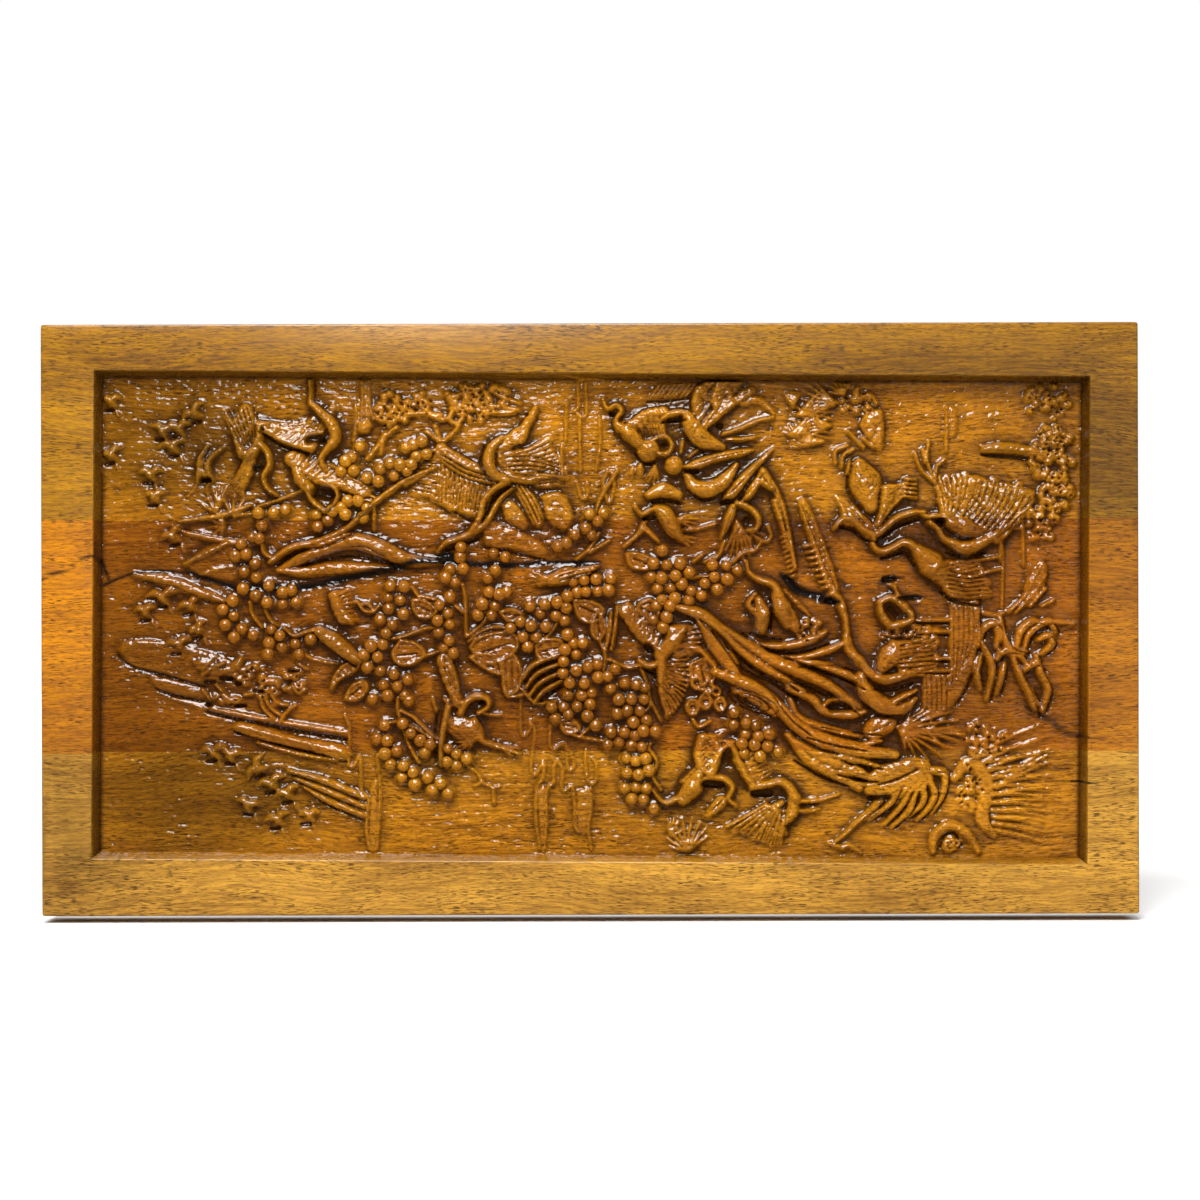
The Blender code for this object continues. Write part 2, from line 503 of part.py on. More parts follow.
def carve_cranes_crowded(c):
    # The flock right of the centre, bodies and blades crossing.
    c.ridge(((602, 396), (607, 403), (614, 406), (621, 411), (617, 418), (620, 426)), (1, 3, 6, 5, 5, 7), 0.6)
    c.ridge(((619, 424), (629, 431), (641, 445)), (8, 14, 10), 0.8)
    c.wing(((636, 422), (648, 414), (662, 410)), (300, 285), (16, 12), 5, 0.48)
    c.ridge(((636, 435), (646, 438), (657, 437)), 4.0, 0.5)
    c.wing(((702, 424), (700, 404), (707, 388)), (22, 30), (36, 26), 8, 0.5)
    c.ridge(((689, 415), (694, 428), (704, 442), (724, 450)), (10, 20, 22, 8), 0.95)
    c.ridge(((690, 416), (684, 411), (673, 414), (664, 418)), (7, 6, 8, 3), 0.7)
    c.ridge(((712, 428), (724, 433), (743, 427), (773, 417)), (8, 6, 5, 3), 0.5)
    c.ridge(((727, 440), (753, 437)), (4, 3), 0.4)
    c.dome((651, 449), 21, 0.75)
    c.ridge(((659, 451), (669, 451), (671, 443), (665, 435)), (6, 5, 4, 3), 0.55)
    c.ridge(((659, 454), (654, 464), (657, 479)), (6, 6, 3), 0.5)
    c.wing(((652, 462), (644, 466), (634, 466)), (280, 240), (16, 14), 6, 0.36)
    c.dome((676, 465), 17, 0.75)
    c.ridge(((684, 466), (716, 458), (751, 450)), (8, 6, 3), 0.7)
    c.ridge(((689, 469), (695, 482), (711, 485), (726, 476), (739, 466)), (6, 13, 17, 14, 5), 0.92)
    c.ridge(((652, 496), (665, 492), (679, 496)), (8, 15, 8), 0.5)
    c.ridge(((637, 506), (645, 515), (652, 511), (658, 508)), (5, 5, 5, 6), 0.5)
    c.ridge(((657, 509), (665, 513), (673, 527), (677, 535)), (7, 15, 17, 8), 0.85)
    c.ridge(((680, 530), (700, 528), (716, 524)), 3.5, 0.4)
    c.strokes((672, 514), (30, 15, 2, -12), (24, 26, 24, 20), 4.5, 0.5)
    c.strokes((674, 534), (-10, -25, -40), (20, 20, 18), 4.0, 0.45)
    c.ridge(((725, 500), (737, 484), (749, 468), (775, 448)), (5, 11, 12, 3), 0.9)
    c.ridge(((737, 498), (750, 480), (765, 464)), (5, 10, 3), 0.72)
    c.ridge(((736, 505), (730, 520), (721, 541)), (8, 8, 2), 0.7)
    c.ridge(((741, 499), (753, 509), (757, 521), (751, 527)), (6, 6, 5, 3), 0.7)
    c.strokes((736, 522), (-70, -80, -92), (34, 38, 34), 5, 0.35)
    c.ridge(((757, 537), (766, 541), (773, 534)), 5.0, 0.4)
    c.ridge(((766, 470), (781, 496), (788, 528), (794, 562)), (5, 5, 5, 5), 0.5)
    c.ridge(((798, 490), (812, 524), (825, 556), (836, 584)), (4, 5, 6, 4), 0.38)
    for shift in range(6):
        c.ridge(((800 + 3 * shift, 548 + 6 * shift), (826 + 2 * shift, 544 + 7 * shift)), 4.0, 0.26)
    c.ridge(((748, 561), (751, 574), (762, 580), (774, 583), (780, 594)), (3, 5, 6, 7, 9), 0.6)
    c.ridge(((777, 594), (781, 608), (787, 622)), (10, 20, 10), 0.72)
    c.ridge(((757, 596), (750, 604), (757, 610)), (4, 6, 8), 0.5)
    c.ridge(((762, 602), (763, 614), (761, 625)), (8, 17, 12), 0.6)
    c.strokes((784, 616), (-10, -28, -48), (24, 24, 20), 5, 0.42)


def carve_cranes_east(c):
    # The standing and feeding cranes at the right.
    c.plate(((860, 424), (880, 411), (887, 415), (886, 449), (876, 448)), 0.36, 6)
    c.ridge(((862, 463), (866, 484), (875, 508)), (12, 30, 12), 0.5)
    c.wing(((842, 522), (852, 519), (864, 527), (875, 535)), (40, 90), (16, 26), 6, 0.5)
    c.wing(((878, 531), (892, 522), (908, 514), (927, 512)), (84, 100), (46, 30), 11, 0.55)
    c.strokes((932, 480), (128, 112, 96), (30, 34, 36), 4.5, 0.34)
    c.wing(((956, 518), (974, 518), (993, 533)), (88, 41), (42, 60), 13, 0.55)
    c.ridge(((952, 520), (968, 526), (984, 536)), (10, 24, 10), 0.95)
    c.ridge(((926, 512), (934, 518), (936, 526), (945, 536), (956, 543)), (2, 9, 6, 7, 9), 0.72)
    c.ridge(((952, 541), (968, 548), (985, 544), (1001, 531)), (8, 12, 12, 6), 0.7)
    c.ridge(((1009, 528), (1026, 527)), 3.0, 0.3)
    c.wing(((936, 558), (944, 574), (952, 594)), (4, 2), (50, 38), 8, 0.5)
    c.ridge(((876, 537), (884, 550), (894, 547), (904, 543), (915, 549), (923, 560)), (5, 6, 6, 7, 9, 12), 0.72)
    c.ridge(((917, 548), (931, 561), (944, 576)), (10, 25, 20), 0.9)
    c.ridge(((938, 576), (950, 592), (972, 602)), (12, 14, 6), 0.6)
    for a, b in (((964, 561), (1006, 556)), ((983, 574), (1006, 569))):
        c.ridge((a, b), 3.0, 0.35)
    c.ridge(((878, 596), (890, 606), (904, 626)), (8, 22, 15), 0.8)
    c.ridge(((879, 606), (884, 620), (893, 634)), (5, 9, 6), 0.6)
    c.tuft((912, 636), (44, 18), 12, 9, 0.5, 11)
    c.ridge(((848, 648), (864, 660), (875, 674), (888, 677), (908, 671), (930, 668)), (7, 9, 11, 12, 9, 4), 0.72)
    c.ridge(((881, 672), (892, 658), (905, 654)), (12, 22, 16), 0.85)
    c.wing(((896, 648), (902, 658), (908, 668)), (8, -2), (44, 34), 7, 0.58)
    for v in (621, 632, 659, 670):
        c.ridge(((926, v), (953, v)), 3.0, 0.32)
    c.ridge(((862, 676), (870, 692), (886, 706), (904, 708), (916, 700)), (10, 18, 20, 16, 6), 0.85)
    c.ridge(((896, 702), (908, 696), (919, 691)), (6, 7, 2), 0.7)
    c.ridge(((896, 708), (908, 706), (916, 702)), (6, 6, 2), 0.7)
    c.wing(((710, 773), (715, 776), (720, 772)), (108, 84), (36, 36), 5, 0.5)
    c.ridge(((703, 775), (697, 786), (686, 799)), (10, 20, 14), 0.9)
    c.ridge(((684, 801), (676, 797), (668, 803), (660, 800), (655, 793)), (6, 5, 6, 5, 3), 0.6)
    c.ridge(((686, 779), (693, 773)), 3.0, 0.4)
    c.wing(((733, 747), (742, 765), (753, 785)), (16, 4), (26, 20), 6, 0.42)
    c.ridge(((721, 757), (727, 747), (734, 747), (744, 768), (755, 786)), (4, 5, 5, 7, 8), 0.66)
    c.ridge(((755, 786), (768, 788), (780, 784), (791, 791), (798, 801)), (8, 7, 8, 12, 12), 0.72)
    c.wing(((768, 802), (783, 806), (794, 810)), (206, 262), (42, 26), 9, 0.45)
    c.ridge(((798, 803), (818, 800), (838, 797)), (6, 4, 3), 0.4)
    c.ridge(((796, 811), (820, 811)), (6, 3), 0.36)
    c.ridge(((725, 799), (715, 810), (706, 820)), (7, 9, 6), 0.45)


def carve_cranes_vine(c):
    # The crane with both wings open beside the berries.
    c.wing(((657, 648), (641, 636), (626, 610)), (42, 66), (20, 12), 9, 0.5)
    c.wing(((676, 631), (681, 640), (678, 651)), (26, 4), (24, 24), 6, 0.5)
    c.wing(((661, 658), (665, 676), (659, 695)), (22, -84), (24, 26), 14, 0.5, arm_width=12)
    c.ridge(((684, 632), (673, 642), (660, 655)), (8, 17, 13), 0.88)
    c.ridge(((660, 656), (652, 665), (643, 664), (636, 654)), (7, 6, 6, 7), 0.66)
    c.ridge(((612, 640), (618, 668)), (4, 5), 0.4)
    c.ridge(((604, 632), (610, 690)), (3, 4), 0.3)


def make_carving():
    c = Carving()
    for carve in (
        carve_land, carve_small_birds, carve_clouds, carve_rocks, carve_pines, carve_trunks,
        carve_vines, carve_cranes_west, carve_crane_centre, carve_cranes_crowded,
        carve_cranes_east, carve_cranes_vine, carve_berries,
    ):
        carve(c)
    return c


def turned(x, z, angle):
    # Turned clockwise on the panel's front.
    return x * math.cos(angle) + z * math.sin(angle), z * math.cos(angle) - x * math.sin(angle)


def sheet_place(x, z):
    # Where a point of the panel's front lies on the sheet.
    x, z = turned(x - RECESS_X, z - RECESS_Z, -SHEET_TURN)
    return (
        SHEET_CENTRE[0] + x * SHEET_WIDTH / RECESS_WIDTH,
        SHEET_CENTRE[1] - z * SHEET_HEIGHT / RECESS_HEIGHT,
    )


def panel_place(u, v):
    x = (u - SHEET_CENTRE[0]) * RECESS_WIDTH / SHEET_WIDTH
    z = (SHEET_CENTRE[1] - v) * RECESS_HEIGHT / SHEET_HEIGHT
    x, z = turned(x, z, SHEET_TURN)
    return x + RECESS_X, z + RECESS_Z


def inset(x, z):
    # How far inside the recess's upper edge a point lies.
    x, z = turned(x - RECESS_X, z - RECESS_Z, -RECESS_TURN)
    return np.minimum(RECESS_WIDTH / 2 - np.abs(x), RECESS_HEIGHT / 2 - np.abs(z))


def depth(carving, x, z):
    # Depth below the border at places on the front.
    inside = inset(x, z)
    u, v = sheet_place(x, z)
    rows, columns = carving.height.shape
    i = np.clip((v - carving.top) / SHEET_STEP, 0, rows - 1.001)
    j = np.clip((u - carving.left) / SHEET_STEP, 0, columns - 1.001)
    row = np.floor(i).astype(int)
    column = np.floor(j).astype(int)
    i = i - row
    j = j - column
    h = carving.height
    relief = (
        (h[row, column] * (1 - j) + h[row, column + 1] * j) * (1 - i)
        + (h[row + 1, column] * (1 - j) + h[row + 1, column + 1] * j) * i
    )
    fade = np.clip((inside - WALL_DRAFT) / RELIEF_FADE, 0, 1)
    floor = RECESS_DEPTH - relief * RELIEF_HEIGHT * fade
    wall = RECESS_DEPTH * np.clip(inside / WALL_DRAFT, 0, 1)
    return np.where(inside >= WALL_DRAFT, floor, wall)


def recess_corners(shrink):
    half_width = RECESS_WIDTH / 2 - shrink
    half_height = RECESS_HEIGHT / 2 - shrink
    corners = []
    for side, up in ((-1, -1), (1, -1), (1, 1), (-1, 1)):
        x, z = turned(side * half_width, up * half_height, RECESS_TURN)
        corners.append((x + RECESS_X, z + RECESS_Z))
    return corners


def clipped(a, b, low, high):
    # The stretch of a line between two heights, or None.
    rise = b[1] - a[1]
    if abs(rise) < 1e-9:
        return (a, b) if low < a[1] < high else None
    first, last = sorted(((low - a[1]) / rise, (high - a[1]) / rise))
    first = max(first, 0)
    last = min(last, 1)
    if first >= last:
        return None
    ends = []
    for share in (first, last):
        z = min(max(a[1] + rise * share, low), high)
        ends.append((a[0] + (b[0] - a[0]) * share, z))
    return tuple(ends)


def board_outline(low, high):
    # Anticlockwise corners, the panel's own four outer corners rounded.
    half_width = PANEL_WIDTH / 2
    half_height = PANEL_HEIGHT / 2
    outline = []
    for side, up, start in ((-1, -1, 180), (1, -1, 270), (1, 1, 0), (-1, 1, 90)):
        z = high if up > 0 else low
        if abs(abs(z) - half_height) > 1e-6:
            outline.append((side * half_width, z))
            continue
        for i in range(CORNER_STEPS + 1):
            turn = math.radians(start + 90 * i / CORNER_STEPS)
            outline.append((
                side * (half_width - CORNER_RADIUS) + CORNER_RADIUS * math.cos(turn),
                z - up * CORNER_RADIUS + CORNER_RADIUS * math.sin(turn),
            ))
    return outline


def profile_points(carving, z):
    # The places along a joint where the front's profile bends.
    x = np.arange(-PANEL_WIDTH / 2, PANEL_WIDTH / 2, 0.0008)
    y = depth(carving, x, np.full(x.shape, z))
    keep = set()
    spans = [(0, len(x) - 1)]
    while spans:
        first, last = spans.pop()
        if last - first < 2:
            continue
        line = np.interp(x[first:last + 1], x[[first, last]], y[[first, last]])
        gaps = np.abs(y[first:last + 1] - line)
        worst = int(gaps.argmax())
        if gaps[worst] < PROFILE_TOLERANCE:
            continue
        keep.add(first + worst)
        spans += [(first, first + worst), (first + worst, last)]
    near = inset(x, np.full(x.shape, z))
    return [float(x[i]) for i in sorted(keep) if near[i] > WALL_DRAFT + RELIEF_FADE / 2]


def fixed_lines(low, high):
    # The recess's edges where they cross this board, and the mitres in its corners.
    lines = []
    upper = recess_corners(0)
    lower = recess_corners(WALL_DRAFT)
    for corners in (upper, lower):
        for a, b in zip(corners, corners[1:] + corners[:1]):
            lines.append(clipped(a, b, low, high))
    for a, b in zip(upper, lower):
        lines.append(clipped(a, b, low, high))
    return [line for line in lines if line]


def triangulated(points, edges):
    flat = [Vector(p) for p in points]
    vertices, _, faces, _, _, _ = delaunay_2d_cdt(flat, edges, [], 0, 1e-7)
    return [(v.x, v.y) for v in vertices], faces


def front_surface(carving, low, high, outline):
    # Starts from the edges and, round after round, adds the worst-fitting place of each
    # triangle that misses too much of the carving.
    points = list(outline)
    edges = []
    for a, b in fixed_lines(low, high):
        edges.append((len(points), len(points) + 1))
        points += [a, b]
    for z in (low, high):
        if abs(abs(z) - PANEL_HEIGHT / 2) > 1e-6:
            points += [(x, z) for x in profile_points(carving, z)]
    half_width = SHEET_WIDTH / 2
    half_height = SHEET_HEIGHT / 2
    u, v = np.meshgrid(
        np.arange(SHEET_CENTRE[0] - half_width, SHEET_CENTRE[0] + half_width, PICK_STEP),
        np.arange(SHEET_CENTRE[1] - half_height, SHEET_CENTRE[1] + half_height, PICK_STEP),
    )
    x, z = panel_place(u.ravel(), v.ravel())
    margin = PICK_STEP * RECESS_WIDTH / SHEET_WIDTH / 3
    free = (inset(x, z) > WALL_DRAFT + margin) & (z > low + margin) & (z < high - margin)
    x = x[free]
    z = z[free]
    y = depth(carving, x, z)
    cell = (PICK_STEP * RECESS_WIDTH / SHEET_WIDTH) ** 2
    above = PANEL_THICKNESS
    for _ in range(ROUNDS):
        flat, faces = triangulated(points, edges)
        flat_depth = depth(carving, np.array([p[0] for p in flat]), np.array([p[1] for p in flat]))
        tree = BVHTree.FromPolygons([(p[0], p[1], d) for p, d in zip(flat, flat_depth)], faces)
        missed = {}
        worst = {}
        for i in range(len(x)):
            hit, _, face, _ = tree.ray_cast((x[i], z[i], above), (0, 0, -1))
            if hit is None:
                continue
            gap = abs(hit[2] - y[i])
            missed[face] = missed.get(face, 0) + gap * cell
            if gap > worst.get(face, (0, 0))[0]:
                worst[face] = (gap, i)
        picked = [worst[face][1] for face, volume in missed.items() if volume > CARVING_TOLERANCE]
        if not picked:
            break
        points += [(float(x[i]), float(z[i])) for i in picked]
    return triangulated(points, edges)


def make_board(name, carving, low, high):
    outline = board_outline(low, high)
    flat, faces = front_surface(carving, low, high, outline)
    depths = depth(carving, np.array([p[0] for p in flat]), np.array([p[1] for p in flat]))
    mesh = bmesh.new()
    front = [mesh.verts.new((p[0], d - PANEL_THICKNESS, p[1])) for p, d in zip(flat, depths)]
    for face in faces:
        mesh.faces.new([front[i] for i in face])
    back = [mesh.verts.new((x, 0, z)) for x, z in outline]
    mesh.faces.new(back)
    corner_of = {}
    for i, (x, z) in enumerate(outline):
        nearest = min(front, key=lambda v: (v.co.x - x) ** 2 + (v.co.z - z) ** 2)
        corner_of[nearest] = i
    after = {}
    for edge in mesh.edges:
        if len(edge.link_faces) == 1 and edge.verts[0].co.y < 0 and edge.verts[1].co.y < 0:
            loop = edge.link_loops[0]
            after[loop.vert] = loop.link_loop_next.vert
    for start, i in corner_of.items():
        chain = [start]
        while chain[-1] is start or chain[-1] not in corner_of:
            chain.append(after[chain[-1]])
        mesh.faces.new([back[corner_of[chain[-1]]], back[i]] + chain)
    bmesh.ops.recalc_face_normals(mesh, faces=mesh.faces)
    bmesh.ops.triangulate(mesh, faces=mesh.faces)
    data = bpy.data.meshes.new(name)
    mesh.to_mesh(data)
    mesh.free()
    board = bpy.data.objects.new(name, data)
    bpy.context.collection.objects.link(board)
    board.data.materials.append(wood(name))
    return board


def wood(name):
    material = bpy.data.materials.new(name + "_wood")
    material.use_nodes = True
    shader = material.node_tree.nodes["Principled BSDF"]
    shader.inputs["Base Color"].default_value = (*BOARD_COLOURS[name], 1)
    shader.inputs["Roughness"].default_value = 0.38
    shader.inputs["Metallic"].default_value = 0.0
    return material


def main():
    for old in list(bpy.data.objects):
        bpy.data.objects.remove(old)
    carving = make_carving()
    half_line = GLUE_LINE / 2
    bottom = -PANEL_HEIGHT / 2
    top = PANEL_HEIGHT / 2
    make_board("board_bottom", carving, bottom, LOWER_JOINT - half_line)
    make_board("board_middle", carving, LOWER_JOINT + half_line, UPPER_JOINT - half_line)
    make_board("board_top", carving, UPPER_JOINT + half_line, top)


main()
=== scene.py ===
# Carved wall panel of three glued boards: the finished look around the fixed solids.
import math
import random

import bmesh
import bpy
import numpy as np
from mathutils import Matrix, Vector


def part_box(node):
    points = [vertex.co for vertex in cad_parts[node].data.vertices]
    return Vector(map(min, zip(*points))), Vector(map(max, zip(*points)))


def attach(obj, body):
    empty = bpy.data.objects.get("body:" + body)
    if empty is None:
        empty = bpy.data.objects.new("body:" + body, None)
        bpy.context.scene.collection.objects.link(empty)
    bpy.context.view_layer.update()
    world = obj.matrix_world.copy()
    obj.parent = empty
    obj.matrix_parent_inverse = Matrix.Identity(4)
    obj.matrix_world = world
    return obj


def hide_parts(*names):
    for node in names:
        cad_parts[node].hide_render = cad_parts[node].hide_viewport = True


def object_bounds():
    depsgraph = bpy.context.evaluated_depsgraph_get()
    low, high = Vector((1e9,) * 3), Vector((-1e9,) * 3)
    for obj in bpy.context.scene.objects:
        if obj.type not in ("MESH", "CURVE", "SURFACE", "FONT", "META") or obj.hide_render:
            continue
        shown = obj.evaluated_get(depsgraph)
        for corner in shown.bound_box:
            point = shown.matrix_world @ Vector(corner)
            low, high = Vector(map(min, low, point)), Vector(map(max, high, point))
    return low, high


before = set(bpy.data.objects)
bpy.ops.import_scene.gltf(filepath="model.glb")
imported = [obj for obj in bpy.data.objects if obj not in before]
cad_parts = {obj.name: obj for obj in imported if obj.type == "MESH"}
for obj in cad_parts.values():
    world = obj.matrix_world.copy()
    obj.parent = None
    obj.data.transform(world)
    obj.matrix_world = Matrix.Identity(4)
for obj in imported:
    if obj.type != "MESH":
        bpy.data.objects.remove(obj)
solidBox = [list(corner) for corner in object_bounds()]
boardNames = ("board_bottom", "board_middle", "board_top")
print("stage 1: solids loaded")

# the slab, read from the solids
panelLow, panelHigh = (Vector(corner) for corner in solidBox)
panelWidth = panelHigh.x - panelLow.x
panelHeight = panelHigh.z - panelLow.z
boardBoxes = {name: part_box(name) for name in boardNames}
lowerJoint = (boardBoxes["board_bottom"][1][2] + boardBoxes["board_middle"][0][2]) / 2
upperJoint = (boardBoxes["board_middle"][1][2] + boardBoxes["board_top"][0][2]) / 2

# the sunk field and its border
recess = {
    "left": 0.0281,
    "right": 0.0273,
    "top": 0.0273,
    "bottom": 0.0291,
    "depth": 0.012,
    "draft": 0.0025,        # how far the wall leans in over its depth
    "turn": math.radians(0.5),
    "softEdge": 0.0007,     # worn upper arris
    "outerEdge": 0.0012,    # rounded outer arris
    "cornerRadius": 0.0016,
}
recessWidth = panelWidth - recess["left"] - recess["right"]
recessHeight = panelHeight - recess["top"] - recess["bottom"]
recessX = (recess["left"] - recess["right"]) / 2
recessZ = (recess["bottom"] - recess["top"]) / 2

# the relief and the sheet that it is drawn on, v running down
relief = {
    "clearance": 0.003,      # highest carving stays this far below the border
    "fade": 0.0012,          # the carving dies away this close to the walls
    "skirts": ((3, 0.52), (8, 0.32)),    # soft foot of a figure: spread in cells, share of its height
    "soften": 0.75,          # rounding of all edges, in cells
    "settingDown": 0.00075,  # floor cut deeper beside the figures
    "fibre": 0.00015,
    "swell": 0.0003,         # slow rise and fall of the floor
    "chips": 0.0007,         # short cuts along the grain
    "toolMarks": 0.00031,
    "plumage": 0.00055,      # fine slanting cuts over the figures
    "plumageTurns": (52, -48),
    "resin": 0.0001,         # how far the resin has sunk in the crack
}
reliefHeight = recess["depth"] - relief["clearance"]
sheet = {
    "u": 591.3,              # its middle, then its size, all in the sheet's own units
    "v": 617.4,
    "width": 995.5,
    "height": 488.8,
    "turn": math.radians(0.157),
    "step": 0.9,             # one cell of the fields of heights, stains and painted shade
}
meshing = {"cell": 0.0006, "borderCell": 0.006, "wallRows": 6, "triangles": 186000}


def smoothPath(points, steps=5):
    if len(points) < 3:
        return [Vector(p) for p in points]
    knots = [Vector(p) for p in points]
    knots = [knots[0] * 2 - knots[1]] + knots + [knots[-1] * 2 - knots[-2]]
    path = []
    for a, b, c, d in zip(knots, knots[1:], knots[2:], knots[3:]):
        for i in range(steps):
            t = i / steps
            path.append(
                0.5 * (2 * b + (c - a) * t + (2 * a - 5 * b + 4 * c - d) * t**2
                       + (3 * b - a - 3 * c + d) * t**3)
            )
    path.append(knots[-2])
    return path


def along(values, count):
    if not isinstance(values, tuple):
        return [values] * count
    places = np.linspace(0, len(values) - 1, count)
    return list(np.interp(places, range(len(values)), values))


def heading(degrees, length=1.0):
    turn = math.radians(degrees)      # anticlockwise from the right
    return Vector((math.cos(turn), -math.sin(turn))) * length


def drifting(count, points, drifts):
    # the same line again and again, each of its points moved on by its own drift
    for k in range(count):
        yield [(u + du * k, v + dv * k) for (u, v), (du, dv) in zip(points, drifts)]


def blurred(field, radius):
    # soft copy of a field, radius in cells
    out = field
    for axis in (0, 1):
        reach = max(1, int(radius * 3))
        offsets = np.arange(-reach, reach + 1)
        weights = np.exp(-0.5 * (offsets / radius) ** 2)
        weights /= weights.sum()
        padding = [(0, 0), (0, 0)]
        padding[axis] = (reach, reach)
        padded = np.pad(out, padding, mode="edge")
        total = np.zeros_like(out)
        for offset, weight in zip(range(2 * reach + 1), weights):
            if axis == 0:
                total += weight * padded[offset:offset + out.shape[0], :]
            else:
                total += weight * padded[:, offset:offset + out.shape[1]]
        out = total
    return out


def fourBlend(knots, row, column, down, right):
    # between the four knots round each place
    upper = knots[row, column] * (1 - right) + knots[row, column + 1] * right
    lower = knots[row + 1, column] * (1 - right) + knots[row + 1, column + 1] * right
    return upper * (1 - down) + lower * down


def knotNoise(knots, i, j):
    # smooth noise from a sheet of random knots, the sheet repeated where it ends
    row = i.astype(int)
    column = j.astype(int)
    down = i - row
    right = j - column
    down = down * down * (3 - 2 * down)
    right = right * right * (3 - 2 * right)
    return fourBlend(knots, row % (knots.shape[0] - 1), column % (knots.shape[1] - 1), down, right)


def grainNoise(shape, longCells, tallCells, seed):
    # noise between -1 and 1, drawn out along the boards
    place = np.random.default_rng(seed)
    rows = int(shape[0] / tallCells) + 4
    columns = int(shape[1] / longCells) + 4
    knots = place.uniform(-1, 1, (rows, columns))
    i = np.arange(shape[0]) / tallCells + place.uniform(0, 1)
    j = np.arange(shape[1]) / longCells + place.uniform(0, 1)
    return knotNoise(knots, i[:, None], j[None, :])


def slantNoise(c, turn, seed, longWay=13, tall=2.4):
    # the same kind of noise, drawn out along a slant of the sheet
    knots = np.random.default_rng(seed).uniform(-1, 1, (257, 257))
    slant = math.radians(turn)
    down = (c.v * math.cos(slant) + c.u * math.sin(slant)) / tall
    right = (c.u * math.cos(slant) - c.v * math.sin(slant)) / longWay
    return knotNoise(knots, down + 900, right + 900)    # far enough to be above zero everywhere


